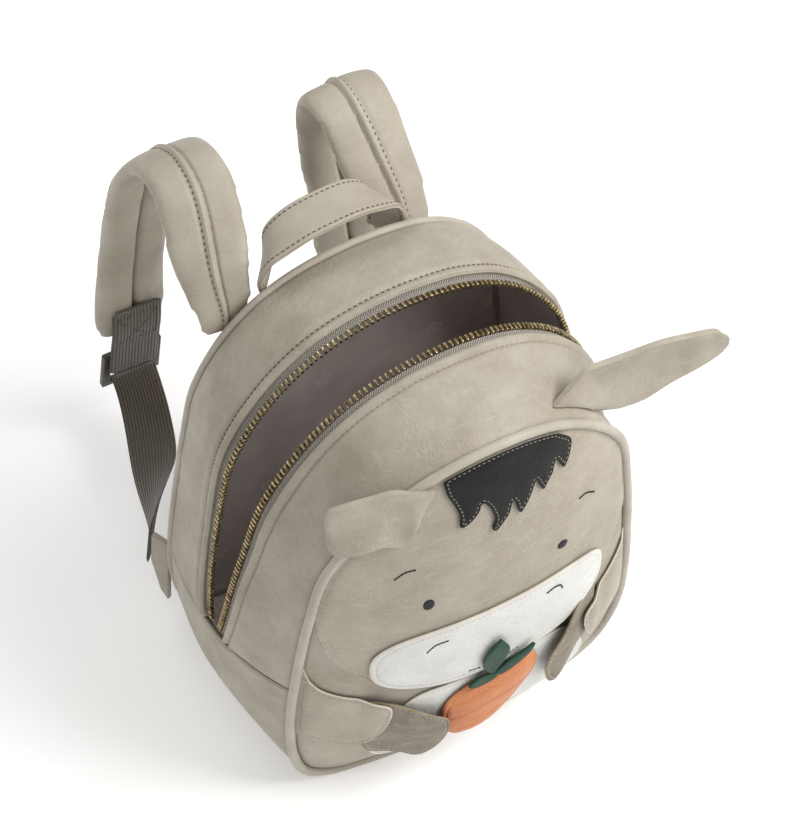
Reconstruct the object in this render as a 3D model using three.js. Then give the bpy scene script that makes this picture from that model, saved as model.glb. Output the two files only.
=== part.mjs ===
import * as THREE from 'three';
import { mergeVertices } from 'three/addons/utils/BufferGeometryUtils.js';

// Small soft backpack with an animal's face on its front panel. Millimetres, Z up, front towards -Y.
// The origin is the middle of the base, on the ground. Left and right are as seen from the front.

// Bag body
const halfWidth = 98.8;
const bagHeight = 257;
const bagDepth = 134;
const wall = 2.2;
const backWall = 3.2;
const seamGap = 0.3;
const layerGap = 0.6;
const pipingRadius = 2.1;
const pipingJoint = 1.2;
const frontCrown = 17;
const frontRecede = 12.5;
const frontTuck = 7.5;
const frontTuckHeight = 60;
const frontShift = -1.6;
const backCrown = 6;
const gussetSwell = 9.5;
const baseSoft = 55;
const panelMiddle = 118;
const sideSeamFront = 97;
const sideSeamRear = 74;

// Main zip
const zipMiddle = 3;
const zipMouth = 27;
const zipSlidersHeight = 150;
const tapeShown = 5.5;
const tapeThick = 0.8;
const tapeTuck = 1.5;
const toothWide = 3.2;
const toothHigh = 2.6;
const sliderLength = 12;
const sliderThick = 3.2;
const pullLength = 22;
const zipEndGap = 2.7;

// Lining
const liningThick = 0.8;
const liningGap = 1.7;

// Flat pieces on the front
const leather = 1.2;
const headMargin = 3.2;
const muzzleWidth = 129;
const muzzleHeight = 53;
const muzzleUp = 121.5;
const muzzlePuff = 0.8;
const bellyWidth = 104;
const bellyHeight = 74;
const bellyDrop = 4;
const bellyTop = muzzleUp - muzzleHeight / 2 - bellyDrop;
const tuftWidth = 68;
const tuftDrop = 41;
const tuftShift = 6;
const eyeApart = 77;
const eyeUp = 165.5;
const eyeWidth = 6.2;
const armLength = 39;
const armHeight = 66;
const armOut = 90;
const armUp = 47;
const armPuff = 1.6;
const hoofLength = 36;
const hoofHeight = 74;
const hoofUp = 14;
const carrotWidth = 55;
const carrotHeight = 62;
const carrotUp = 23;
const carrotShift = -1;
const carrotPuff = 3;
const leafLength = 31;
const leafWidth = 11;

// Ears
const earLength = 80;
const earWidth = 42;
const earThick = 2.8;
const earRootHigh = 247;
const earRootLow = 222;
const earRootAcross = 0.955;
const foldedEarRoot = 35;
const foldedEarLength = 52;

// Handle
const handleSpan = 65;
const handleRise = 31;
const handleWidth = 23;
const handleThick = 2.8;
const handleShift = -6.5;
const handleFoot = 17;

// Shoulder straps
const strapWidth = 41;
const strapThick = 12;
const strapOut = 57;
const strapReach = 122;
const strapTop = 41;
const strapFootDrop = 12;
const webWidth = 25;
const webThick = 1.6;
const webSag = 11;
const patchOnStrap = 27;
const patchHang = 30;
const buckleWidth = 33;
const buckleHeight = 30;
const buckleThick = 3.4;
const buckleBar = 4.5;
const tabHeight = 50;
const tabReach = 11;
const tabThick = 3.2;
const tabUp = 13;

// Half outline of the bag, from the middle of the top down to the base: heights as shares of bagHeight,
// the front and the rear piping line as shares of halfWidth.
const outlineRows = [
  { up: 1, front: 0, rear: 0 },
  { up: 0.975, front: 0.33, rear: 0.385 },
  { up: 0.9, front: 0.6, rear: 0.665 },
  { up: 0.77, front: 0.835, rear: 0.86 },
  { up: 0.62, front: 0.915, rear: 0.925 },
  { up: 0.45, front: 0.965, rear: 0.97 },
  { up: 0.28, front: 0.99, rear: 1 },
  { up: 0.15, front: 0.965, rear: 0.985 },
  { up: 0.045, front: 0.865, rear: 0.9 },
  { up: 0, front: 0.69, rear: 0.72 },
  { up: 0, front: 0.5, rear: 0.5 },
];

// Dents of the gusset: place as a share of the way round and across, depth as a share of gussetSwell.
const dentRows = [
  { round: 0.645, across: 0.84, depth: 0.75, wide: 0.05, long: 0.13 },
  { round: 0.36, across: 0.8, depth: 0.45, wide: 0.06, long: 0.14 },
  { round: 0.25, across: 0.62, depth: -0.25, wide: 0.07, long: 0.25 },
  { round: 0.56, across: 0.2, depth: -0.2, wide: 0.08, long: 0.2 },
];

const point = (x, y, z) => new THREE.Vector3(x, y, z);
const mix = THREE.MathUtils.lerp;
const ease = THREE.MathUtils.smoothstep;
const turns = (degrees) => THREE.MathUtils.degToRad(degrees);

// The closed outline, starting in the middle of the base and rising on the left side.
function outlineCurve(column) {
  const half = outlineRows.map((row) => point(row[column] * halfWidth, 0, row.up * bagHeight));
  const left = half.slice(1).reverse().map((p) => point(-p.x, 0, p.z));
  return new THREE.CatmullRomCurve3([point(0, 0, 0), ...left, ...half], true, 'centripetal');
}

const outlines = { front: outlineCurve('front'), rear: outlineCurve('rear') };
outlines.front.arcLengthDivisions = 600;
outlines.rear.arcLengthDivisions = 600;

function outlineAt(column, round) {
  const p = outlines[column].getPointAt(round - Math.floor(round));
  p.z = Math.max(p.z, 0);
  if (column === 'front') p.x += frontShift;
  return p;
}

function outwardAt(column, round) {
  const ahead = outlineAt(column, round + 0.004);
  const behind = outlineAt(column, round - 0.004);
  const along = ahead.sub(behind).normalize();
  return point(-along.z, 0, along.x);
}

// Share of the way round at which a side reaches a height.
function roundAtHeight(column, height, side) {
  let low = 0.13;
  let high = 0.5;
  for (let step = 0; step < 30; step += 1) {
    const middle = (low + high) / 2;
    if (outlineAt(column, middle).z < height) low = middle;
    else high = middle;
  }
  return side < 0 ? low : 1 - low;
}

const tucked = (z) => frontTuck * Math.max(1 - z / frontTuckHeight, 0) ** 2;
const frontPlane = (x, z) => -bagDepth / 2 + frontRecede * (x / halfWidth) ** 2 + tucked(z);
const rearPlane = () => bagDepth / 2;

function seamPoint(column, round, inset, inward) {
  const p = outlineAt(column, round).addScaledVector(outwardAt(column, round), -inset);
  p.y = column === 'front' ? frontPlane(p.x, p.z) + inward : rearPlane() - inward;
  return p;
}

// Outer face of the gusset: across runs from the rear seam (0) to the front seam (1).
function gussetPoint(round, across, lift = 0) {
  const reach = pipingRadius + seamGap;
  const rear = seamPoint('rear', round, 0, reach);
  const front = seamPoint('front', round, 0, reach);
  const outward = outwardAt('rear', round).add(outwardAt('front', round)).normalize();
  const p = rear.lerp(front, across);
  const hump = 4 * across * (1 - across);
  const soft = ease(p.z, 1, baseSoft);
  let swell = gussetSwell * hump * soft;
  for (const dent of dentRows) {
    const away = ((round - dent.round) / dent.wide) ** 2 + ((across - dent.across) / dent.long) ** 2;
    swell -= gussetSwell * dent.depth * soft * Math.exp(-away);
  }
  const dip = 0.6 * (1 - ease(Math.min(across, 1 - across), 0, 0.09));
  return p.addScaledVector(outward, swell - dip + lift);
}

// Polar picture of the front and back panels, for the share of the way from the middle to the edge.
function panelEdge(column, count) {
  const inset = 2 * pipingRadius + seamGap;
  return Array.from({ length: count }, (_, i) => seamPoint(column, i / count, inset, 0));
}

function edgeTable(column) {
  return panelEdge(column, 240)
    .map((p) => ({ angle: Math.atan2(p.z - panelMiddle, p.x), far: Math.hypot(p.x, p.z - panelMiddle) }))
    .sort((a, b) => a.angle - b.angle);
}

const edgeTables = { front: edgeTable('front'), rear: edgeTable('rear') };

function shareOfPanel(column, x, z) {
  const table = edgeTables[column];
  const angle = Math.atan2(z - panelMiddle, x);
  const next = table.findIndex((row) => row.angle >= angle);
  const high = table[next < 0 ? 0 : next];
  const low = table[next <= 0 ? table.length - 1 : next - 1];
  const gap = (high.angle - low.angle + 2 * Math.PI) % (2 * Math.PI);
  const part = gap > 0 ? ((angle - low.angle + 2 * Math.PI) % (2 * Math.PI)) / gap : 0;
  return Math.hypot(x, z - panelMiddle) / mix(low.far, high.far, part);
}

const domed = (share) => 1 - Math.min(share, 1) ** 2.4;
const faceDepth = (x, z) => frontPlane(x, z) - frontCrown * domed(shareOfPanel('front', x, z));
const backDepth = (x, z) => rearPlane() + backCrown * domed(shareOfPanel('rear', x, z));

// A point that stands off the front panel's outer face, square to it.
function onFace(x, z, lift) {
  const slopeX = (faceDepth(x + 0.5, z) - faceDepth(x - 0.5, z));
  const slopeZ = (faceDepth(x, z + 0.5) - faceDepth(x, z - 0.5));
  const normal = point(slopeX, -1, slopeZ).normalize();
  return point(x, faceDepth(x, z), z).addScaledVector(normal, lift);
}

function geometryOf(points, faces) {
  let volume = 0;
  for (const [a, b, c] of faces) {
    volume += points[a].dot(points[b].clone().cross(points[c]));
  }
  const index = faces.flatMap(([a, b, c]) => (volume < 0 ? [a, c, b] : [a, b, c]));
  const geometry = new THREE.BufferGeometry();
  const position = points.flatMap((p) => [p.x, p.y, p.z]);
  geometry.setAttribute('position', new THREE.Float32BufferAttribute(position, 3));
  geometry.setIndex(index);
  geometry.computeVertexNormals();
  return geometry;
}

function welder() {
  const seen = new Map();
  const points = [];
  const add = (p) => {
    const key = [p.x, p.y, p.z].map((c) => Math.round(c * 2000)).join();
    if (!seen.has(key)) {
      seen.set(key, points.length);
      points.push(p);
    }
    return seen.get(key);
  };
  return { points, add };
}

// A closed wall between an outer and an inner grid of points, rimmed along every free edge and round the
// cells left out. With ringed set the first index runs all the way round.
function shell(outer, inner, ringed = false, leftOut = () => false) {
  const { points, add } = welder();
  const faces = [];
  const edges = new Map();
  const partner = new Map();
  const count = ringed ? outer.length : outer.length - 1;
  const addFace = (a, b, c) => {
    if (a === b || b === c || c === a) return;
    faces.push([a, b, c]);
  };
  for (let i = 0; i < count; i += 1) {
    for (let j = 0; j + 1 < outer[0].length; j += 1) {
      if (leftOut(i, j)) continue;
      const next = (i + 1) % outer.length;
      const cell = [[i, j], [next, j], [next, j + 1], [i, j + 1]];
      const front = cell.map(([r, s]) => add(outer[r][s]));
      const back = cell.map(([r, s]) => add(inner[r][s]));
      front.forEach((a, k) => partner.set(a, back[k]));
      addFace(front[0], front[1], front[2]);
      addFace(front[0], front[2], front[3]);
      addFace(back[0], back[2], back[1]);
      addFace(back[0], back[3], back[2]);
      front.forEach((a, k) => {
        const b = front[(k + 1) % 4];
        if (a === b) return;
        if (edges.has(`${b} ${a}`)) edges.delete(`${b} ${a}`);
        else edges.set(`${a} ${b}`, [a, b]);
      });
    }
  }
  for (const [a, b] of edges.values()) {
    addFace(b, a, partner.get(a));
    addFace(b, partner.get(a), partner.get(b));
  }
  return geometryOf(points, faces);
}

// A solid through closed sections with the same number of points, capped at both ends.
// With flat, the lower and the upper face of each length are cut along the same diagonal, as a twisted strip needs.
function loft(sections, flat = false) {
  const { points, add } = welder();
  const faces = [];
  const rings = sections.map((section) => section.map(add));
  const count = rings[0].length;
  for (let i = 0; i + 1 < rings.length; i += 1) {
    for (let j = 0; j < count; j += 1) {
      const k = (j + 1) % count;
      const [a, b, c, d] = [rings[i][j], rings[i][k], rings[i + 1][k], rings[i + 1][j]];
      if (flat && j >= count / 2) faces.push([a, b, d], [b, c, d]);
      else faces.push([a, b, c], [a, c, d]);
    }
  }
  const last = rings.at(-1);
  for (let j = 1; j + 1 < count; j += 1) {
    faces.push([rings[0][0], rings[0][j + 1], rings[0][j]]);
    faces.push([last[0], last[j], last[j + 1]]);
  }
  return geometryOf(points, faces);
}

const part = new THREE.Group();

function place(name, geometry, colour, roughness, metalness = 0) {
  const material = new THREE.MeshStandardMaterial({ color: colour, roughness, metalness });
  const mesh = new THREE.Mesh(geometry, material);
  mesh.name = name;
  part.add(mesh);
  return mesh;
}

const taupe = '#b5ad9c';
const taupeDark = '#9b9282';
const brass = '#9c8556';
const webBrown = '#574d44';

const steps = (count, from = 0, to = 1) => Array.from({ length: count + 1 }, (_, i) => mix(from, to, i / count));

// Front and back panels
const aroundCount = 44;
const panelShares = [0, 0.16, 0.32, 0.48, 0.63, 0.77, 0.89, 1];
const backShares = [0, 0.3, 0.6, 0.82, 1];

function panelGrid(column, shares, depthAt) {
  return panelEdge(column, aroundCount).map((edge) => shares.map((share) => {
    const x = edge.x * share;
    const z = mix(panelMiddle, edge.z, share);
    return point(x, depthAt(x, z), z);
  }));
}

place('front_panel', shell(
  panelGrid('front', panelShares, faceDepth),
  panelGrid('front', panelShares, (x, z) => faceDepth(x, z) + wall),
  true,
), taupe, 0.62);

place('back_panel', shell(
  panelGrid('rear', backShares, backDepth),
  panelGrid('rear', backShares, (x, z) => backDepth(x, z) - backWall),
  true,
), taupeDark, 0.7);

// Piping beads, each open by a small joint under the base
function pipingGeometry(column) {
  const half = pipingJoint / 2 / outlines[column].getLength();
  const line = steps(aroundCount, half, 1 - half)
    .map((round) => seamPoint(column, round, pipingRadius, 0));
  const bead = Array.from({ length: 6 }, (_, i) => {
    const angle = (i / 6) * 2 * Math.PI;
    return [Math.cos(angle) * pipingRadius, Math.sin(angle) * pipingRadius];
  });
  return loft(line.map((p, i) => {
    const round = mix(half, 1 - half, i / aroundCount);
    const outward = outwardAt(column, round);
    return bead.map(([out, along]) => p.clone().addScaledVector(outward, out).add(point(0, along, 0)));
  }));
}

place('piping_front', pipingGeometry('front'), '#c4bcaa', 0.55);
place('piping_back', pipingGeometry('rear'), '#aaa291', 0.6);

// Zip line: how far round, and how wide the mouth stands open there
const sideSeamMiddle = (sideSeamFront + sideSeamRear) / 2;
const seamLeft = {
  front: roundAtHeight('front', sideSeamFront, -1),
  rear: roundAtHeight('rear', sideSeamRear, -1),
};
const seamRound = (across) => mix(seamLeft.rear, seamLeft.front, across);
const zipStart = seamRound(0.5);
const zipStop = 1 - zipStart;
const sliderRound = roundAtHeight('rear', zipSlidersHeight, 1);
const shutHalf = toothWide / 2 + seamGap / 2;

function mouthHalf(round) {
  const part = THREE.MathUtils.clamp((round - zipStart) / (sliderRound - zipStart), 0, 1);
  return shutHalf + (zipMouth / 2) * Math.sin(Math.PI * part) ** 0.46;
}

// Share across the gusset for a distance in front of (negative) or behind the zip line.
function acrossAt(round, offset) {
  const reach = pipingRadius + seamGap;
  const rear = rearPlane() - reach;
  const seam = outlineAt('front', round);
  const front = frontPlane(seam.x, seam.z) + reach;
  return (rear - (zipMiddle + offset)) / (rear - front);
}

// Gusset strips behind and in front of the zip, slanted at their lower ends along the side seam
const stripSteps = 32;
const zipSteps = 28;
const seamShift = (seamGap / 2 + 0.1) / outlines.front.getLength();

function stripRound(part, across) {
  const from = seamRound(across) + seamShift;
  return mix(from, 1 - from, part);
}

// The folded edge of a strip lies beside its tape all along the slanted strip.
function stripEdge(part, side) {
  let edge = 0.5;
  for (let pass = 0; pass < 4; pass += 1) {
    const round = stripRound(part, edge);
    edge = acrossAt(round, side * (mouthHalf(round) + tapeShown));
  }
  return edge;
}

function stripGeometry(side, shares) {
  const grid = (lift) => steps(stripSteps).map((part) => shares.map((share) => {
    const edge = stripEdge(part, side);
    const across = side > 0 ? share * edge : mix(1, edge, share);
    return gussetPoint(stripRound(part, across), across, lift);
  }));
  return shell(grid(0), grid(-wall));
}

const stripShares = [0, 0.14, 0.4, 0.7, 1];
place('gusset_rear', stripGeometry(1, stripShares), taupe, 0.6);
place('gusset_front', stripGeometry(-1, stripShares), taupe, 0.6);

// Base gusset: the bottom and the lower sides, up to the slanted side seams
const baseShares = [0, 0.1, 0.3, 0.5, 0.7, 0.9, 1];
const baseSteps = 22;

function baseGrid(lift) {
  return steps(baseSteps).map((part) => baseShares.map((across) => {
    const end = seamRound(across) - seamShift;
    return gussetPoint(mix(-end, end, part), across, lift);
  }));
}

place('base_gusset', shell(baseGrid(0), baseGrid(-wall)), taupe, 0.62);

// Zip tapes, tucked under the folded edges, and the rows of teeth as plain rails
function bandAlongZip(from, to, low, high, side) {
  const corner = (round, offset, lift) => gussetPoint(round, acrossAt(round, side * offset), lift);
  const first = zipStart + zipEndGap / outlines.front.getLength();
  return loft(steps(zipSteps, first, 1 - first).map((round) => {
    const edge = mouthHalf(round);
    return [
      corner(round, edge + from, low),
      corner(round, edge + to, low),
      corner(round, edge + to, high),
      corner(round, edge + from, high),
    ];
  }));
}

const tapeTop = -wall - seamGap - 0.15;
const tapeLow = tapeTop - tapeThick;
const tapeStop = tapeShown + tapeTuck;
const toothMiddle = tapeTop + 0.3;
for (const [name, side] of [['rear', 1], ['front', -1]]) {
  const inner = toothWide / 2 + seamGap;
  place(`zip_tape_${name}`, bandAlongZip(inner, tapeStop, tapeLow, tapeTop, side), '#8d867b', 0.85);
  const tooth = bandAlongZip(
    -toothWide / 2, toothWide / 2, toothMiddle - toothHigh / 2, toothMiddle + toothHigh / 2, side,
  );
  place(`zip_teeth_${name}`, tooth, brass, 0.35, 0.85);
}

// Zip slider with its pull, lying over the shut end of the mouth
function sliderGeometry() {
  const along = outlines.rear.getLength();
  const lift = toothMiddle + toothHigh / 2 + seamGap;
  const rows = [
    { on: -0.2, half: 0.5, thick: 0.7 },
    { on: 0.15, half: 1, thick: 1 },
    { on: 1, half: 0.9, thick: 1 },
    { on: 1.2, half: 0.45, thick: 0.8 },
    { on: 1.3, half: 0.4, thick: 0.6 },
    { on: 1.6 + pullLength / sliderLength, half: 0.55, thick: 0.6 },
  ];
  return loft(rows.map((row) => {
    const round = sliderRound + (row.on * sliderLength) / along;
    const half = row.half * (toothWide + 2);
    const top = lift + row.thick * sliderThick;
    const corner = (offset, height) => gussetPoint(round, acrossAt(round, offset), height);
    return [corner(-half, lift), corner(half, lift), corner(half, top), corner(-half, top)];
  }));
}

place('zip_slider', sliderGeometry(), brass, 0.35, 0.85);

// Lining: one thin bag inside the walls, open along the zip's mouth
const liningAround = 32;
const liningPanel = [0, 0.5, 0.94];
const liningOpen = (round) => round > zipStart + 0.01 && round < sliderRound + 0.004;

function liningGrid(lift) {
  return Array.from({ length: liningAround }, (_, i) => {
    const round = (i + 0.5) / liningAround;
    const disc = (column, depthAt, sign, thick) => liningPanel.map((share) => {
      const edge = seamPoint(column, round, 2 * pipingRadius + seamGap, 0);
      const x = edge.x * share;
      const z = mix(panelMiddle, edge.z, share);
      return point(x, depthAt(x, z) + sign * (thick + liningGap - lift), z);
    });
    const half = mouthHalf(round) + tapeShown + 0.5;
    const low = acrossAt(round, liningOpen(round) ? half : shutHalf + tapeShown);
    const high = acrossAt(round, liningOpen(round) ? -half : -shutHalf - tapeShown);
    const band = [0.07, low * 0.55, low, high, mix(1, high, 0.55), 0.93]
      .map((across) => gussetPoint(round, across, lift - wall - liningGap));
    return [
      ...disc('rear', backDepth, -1, backWall),
      ...band,
      ...disc('front', faceDepth, 1, wall).reverse(),
    ];
  });
}

const mouthCell = liningPanel.length + 2;
place('lining', shell(
  liningGrid(0),
  liningGrid(-liningThick),
  true,
  (i, j) => j === mouthCell && liningOpen((i + 0.5) / liningAround) && liningOpen((i + 1.5) / liningAround),
), '#7d7069', 0.45);

// Flat pieces on the face. A table gives the lower and the upper edge along the piece, in shares.
function flatPiece(columns, across, lift, thick, puff = 0) {
  const middle = (columns.length - 1) / 2;
  const grid = (height, bulge) => columns.map(({ x, low, high }, i) => steps(across).map((share) => {
    const ends = Math.max(0, 1 - (Math.abs(i - middle) / middle) ** 4);
    const round = ends * Math.max(Math.sin(Math.PI * share), 0) ** 0.6;
    return onFace(x, mix(low, high, share), height + bulge * round);
  }));
  return shell(grid(lift + thick, puff), grid(lift, 0));
}

function smoothRows(rows, count) {
  const line = new THREE.CatmullRomCurve3(rows.map((r) => point(r.at, r.low, r.high)), false, 'centripetal');
  return line.getPoints(count).map((p) => ({ at: p.x, low: p.y, high: p.z }));
}

const firstLayer = layerGap;
const secondLayer = firstLayer + leather + layerGap;
const thirdLayer = secondLayer + leather + layerGap;

// Head: everything above the cheek line, its lower edge sagging from the piping to under the muzzle
function topOfPanel(x, margin) {
  let low = panelMiddle;
  let high = bagHeight;
  const limit = 1 - margin / (bagHeight - panelMiddle);
  for (let step = 0; step < 30; step += 1) {
    const middle = (low + high) / 2;
    if (shareOfPanel('front', x, middle) < limit) low = middle;
    else high = middle;
  }
  return low;
}

const headRows = [
  { at: -0.95, low: 1 },
  { at: -0.925, low: 0.75 },
  { at: -0.87, low: 0.47 },
  { at: -0.76, low: 0.26 },
  { at: -0.64, low: 0.1 },
  { at: -0.5, low: 0.04 },
  { at: -0.25, low: 0 },
  { at: 0, low: 0 },
];
const headReach = halfWidth * 0.93;
const headLow = muzzleUp - muzzleHeight / 2 + 4;
const headHigh = 160;

function headColumns() {
  const half = headRows.map((row) => ({ x: row.at * headReach, low: mix(headLow, headHigh, row.low) }));
  const full = [...half, ...half.slice(0, -1).reverse().map((row) => ({ x: -row.x, low: row.low }))];
  const line = new THREE.CatmullRomCurve3(full.map((row) => point(row.x, row.low, 0)), false, 'centripetal');
  return line.getPoints(18).map((p) => {
    const high = topOfPanel(p.x, headMargin);
    return { x: p.x, low: Math.min(p.y, high - 2), high };
  });
}

place('head_panel', flatPiece(headColumns(), 6, firstLayer, leather), taupe, 0.62);

// Muzzle: a wide pill, a little padded
function pillColumns(width, height, middle, power, count) {
  return steps(count).map((part) => {
    const at = -Math.cos(Math.PI * part);
    const half = (height / 2) * Math.max(1 - Math.abs(at) ** power, 0) ** (1 / power);
    return { x: (at * width) / 2, low: middle - Math.max(half, 0.4), high: middle + Math.max(half, 0.4) };
  });
}

place('muzzle', flatPiece(
  pillColumns(muzzleWidth, muzzleHeight, muzzleUp, 2.7, 16), 5, secondLayer, leather, muzzlePuff,
), '#dcdad4', 0.5);

// Belly below the muzzle
const bellyRows = [
  { at: -1, low: -0.62, high: -0.5 },
  { at: -0.93, low: -0.84, high: -0.25 },
  { at: -0.82, low: -0.93, high: -0.08 },
  { at: -0.6, low: -0.98, high: 0 },
  { at: 0, low: -1, high: 0 },
  { at: 0.6, low: -0.98, high: 0 },
  { at: 0.82, low: -0.93, high: -0.08 },
  { at: 0.93, low: -0.84, high: -0.25 },
  { at: 1, low: -0.62, high: -0.5 },
];
place('belly', flatPiece(
  smoothRows(bellyRows, 12).map((r) => ({
    x: (r.at * bellyWidth) / 2, low: bellyTop + r.low * bellyHeight, high: bellyTop + r.high * bellyHeight,
  })), 4, firstLayer, leather,
), '#d9d8d4', 0.5);

// Hair tuft, hanging from the top seam in pointed locks that sweep to the right
const tuftRows = [
  { at: -1, low: 0.08 },
  { at: -0.8, low: 0.42 },
  { at: -0.76, low: 0.76 },
  { at: -0.62, low: 0.64 },
  { at: -0.52, low: 0.48 },
  { at: -0.38, low: 0.52 },
  { at: -0.29, low: 1 },
  { at: -0.12, low: 0.84 },
  { at: -0.02, low: 0.68 },
  { at: 0.1, low: 0.89 },
  { at: 0.24, low: 0.74 },
  { at: 0.35, low: 0.54 },
  { at: 0.47, low: 0.73 },
  { at: 0.61, low: 0.58 },
  { at: 0.72, low: 0.42 },
  { at: 0.81, low: 0.56 },
  { at: 0.94, low: 0.3 },
  { at: 1, low: 0.12 },
];
place('hair_tuft', flatPiece(
  tuftRows.map((r) => {
    const x = tuftShift + (r.at * tuftWidth) / 2;
    const high = topOfPanel(x, headMargin + 1.2);
    return { x, low: Math.min(topOfPanel(tuftShift, headMargin) - r.low * tuftDrop, high - 1), high };
  }), 3, secondLayer, leather,
), '#27282c', 0.3);

// Eyes
for (const [name, side] of [['left', -1], ['right', 1]]) {
  const columns = pillColumns(eyeWidth, eyeWidth * 0.85, eyeUp, 2, 6)
    .map((c) => ({ ...c, x: c.x + (side * eyeApart) / 2 }));
  place(`eye_${name}`, flatPiece(columns, 2, secondLayer, 0.5), '#3a3038', 0.8);
}

// Arms from the side seams, and hooves that reach in front of the belly
const armRows = [
  { at: 0, low: 0.28, high: 0.92 },
  { at: 0.1, low: 0.17, high: 0.82 },
  { at: 0.3, low: 0.09, high: 0.7 },
  { at: 0.55, low: 0.02, high: 0.65 },
  { at: 0.78, low: 0.03, high: 0.62 },
  { at: 0.93, low: 0.18, high: 0.58 },
  { at: 1, low: 0.32, high: 0.5 },
];
const hoofRows = [
  { at: 0, low: 0.43, high: 0.51 },
  { at: 0.11, low: 0.33, high: 0.6 },
  { at: 0.19, low: 0.27, high: 0.88 },
  { at: 0.45, low: 0.12, high: 0.8 },
  { at: 0.75, low: 0, high: 0.7 },
  { at: 0.92, low: 0.05, high: 0.62 },
  { at: 1, low: 0.22, high: 0.5 },
];
const hoofOut = armOut - armLength + 5.6;
for (const [name, side] of [['left', -1], ['right', 1]]) {
  const arm = smoothRows(armRows, 10).map((r) => ({
    x: side * (armOut - r.at * armLength), low: armUp + r.low * armHeight, high: armUp + r.high * armHeight,
  }));
  place(`arm_${name}`, flatPiece(arm, 4, firstLayer, leather, armPuff), taupe, 0.62);
  const hoof = hoofRows.map((r) => ({
    x: side * (hoofOut - r.at * hoofLength), low: hoofUp + r.low * hoofHeight, high: hoofUp + r.high * hoofHeight,
  }));
  place(`hoof_${name}`, flatPiece(hoof, 3, secondLayer, leather), '#6e675c', 0.75);
}

// Carrot with three leaves, held in front of the belly
const carrotRows = [
  { at: -1, low: 0.66, high: 0.82 },
  { at: -0.85, low: 0.42, high: 0.93 },
  { at: -0.55, low: 0.16, high: 0.98 },
  { at: -0.1, low: 0.01, high: 1 },
  { at: 0.2, low: 0, high: 1 },
  { at: 0.55, low: 0.13, high: 0.99 },
  { at: 0.85, low: 0.42, high: 0.95 },
  { at: 1, low: 0.68, high: 0.84 },
];
place('carrot', flatPiece(
  smoothRows(carrotRows, 11).map((r) => ({
    x: carrotShift + (r.at * carrotWidth) / 2, low: carrotUp + r.low * carrotHeight, high: carrotUp + r.high * carrotHeight,
  })), 4, thirdLayer, leather, carrotPuff,
), '#d9793f', 0.55);

const leafRows = [
  { lean: 8, length: 1, shift: 0 },
  { lean: 64, length: 0.8, shift: 4.5 },
  { lean: -52, length: 0.72, shift: -6.5 },
];
const leafBase = carrotUp + carrotHeight + 2.2;
leafRows.forEach((leaf, i) => {
  const tilt = turns(leaf.lean);
  const rows = steps(6).map((part) => {
    const half = (leafWidth / 2) * Math.max(Math.sin(Math.PI * Math.min(part * 0.96 + 0.02, 1)), 0.08) ** 0.8;
    const along = part * leafLength * leaf.length;
    return [-half, half].map((off) => [
      carrotShift + leaf.shift + along * Math.sin(tilt) + off * Math.cos(tilt),
      leafBase + along * Math.cos(tilt) - off * Math.sin(tilt),
    ]);
  });
  const lift = secondLayer + leather + muzzlePuff;
  const grid = (height) => rows.map(([a, b]) => [
    onFace(a[0], a[1], height),
    onFace((a[0] + b[0]) / 2, (a[1] + b[1]) / 2, height + 0.5),
    onFace(b[0], b[1], height),
  ]);
  place(`carrot_leaf_${i + 1}`, shell(grid(lift + leather), grid(lift)), '#1f4a35', 0.5);
});

// A flat or padded band along a line, with the direction of its width, its width and thickness at each point.
function band(line, rows, section, flat = false) {
  return loft(line.map((p, i) => {
    const before = line[Math.max(i - 1, 0)];
    const after = line[Math.min(i + 1, line.length - 1)];
    const along = after.clone().sub(before).normalize();
    const wide = rows[i].across.clone();
    wide.addScaledVector(along, -wide.dot(along)).normalize();
    const out = along.clone().cross(wide).normalize();
    return section.map(([a, b]) => p.clone()
      .addScaledVector(wide, (a * rows[i].width) / 2)
      .addScaledVector(out, (b * rows[i].thick) / 2));
  }), flat);
}

const level = (turn) => point(Math.cos(turns(turn)), Math.sin(turns(turn)), 0);

function sampled(rows, keys, count) {
  const columns = keys.map((key) => rows.map((row) => row[key]));
  return steps(count).map((share) => {
    const spot = share * (rows.length - 1);
    const i = Math.min(Math.floor(spot), rows.length - 2);
    const t = spot - i;
    const values = columns.map((c) => {
      const [a, b, d, e] = [c[Math.max(i - 1, 0)], c[i], c[i + 1], c[Math.min(i + 2, c.length - 1)]];
      const bend = 2 * b + (d - a) * t + (2 * a - 5 * b + 4 * d - e) * t * t + (3 * b - a - 3 * d + e) * t ** 3;
      return bend / 2;
    });
    return Object.fromEntries(keys.map((key, k) => [key, values[k]]));
  });
}

const flatSection = [[-1, -1], [1, -1], [1, 1], [-1, 1]];
const padSection = [[-1, -0.4], [-0.8, -1], [0.8, -1], [1, -0.4], [1, 0.4], [0.8, 1], [-0.8, 1], [-1, 0.4]];

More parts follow.
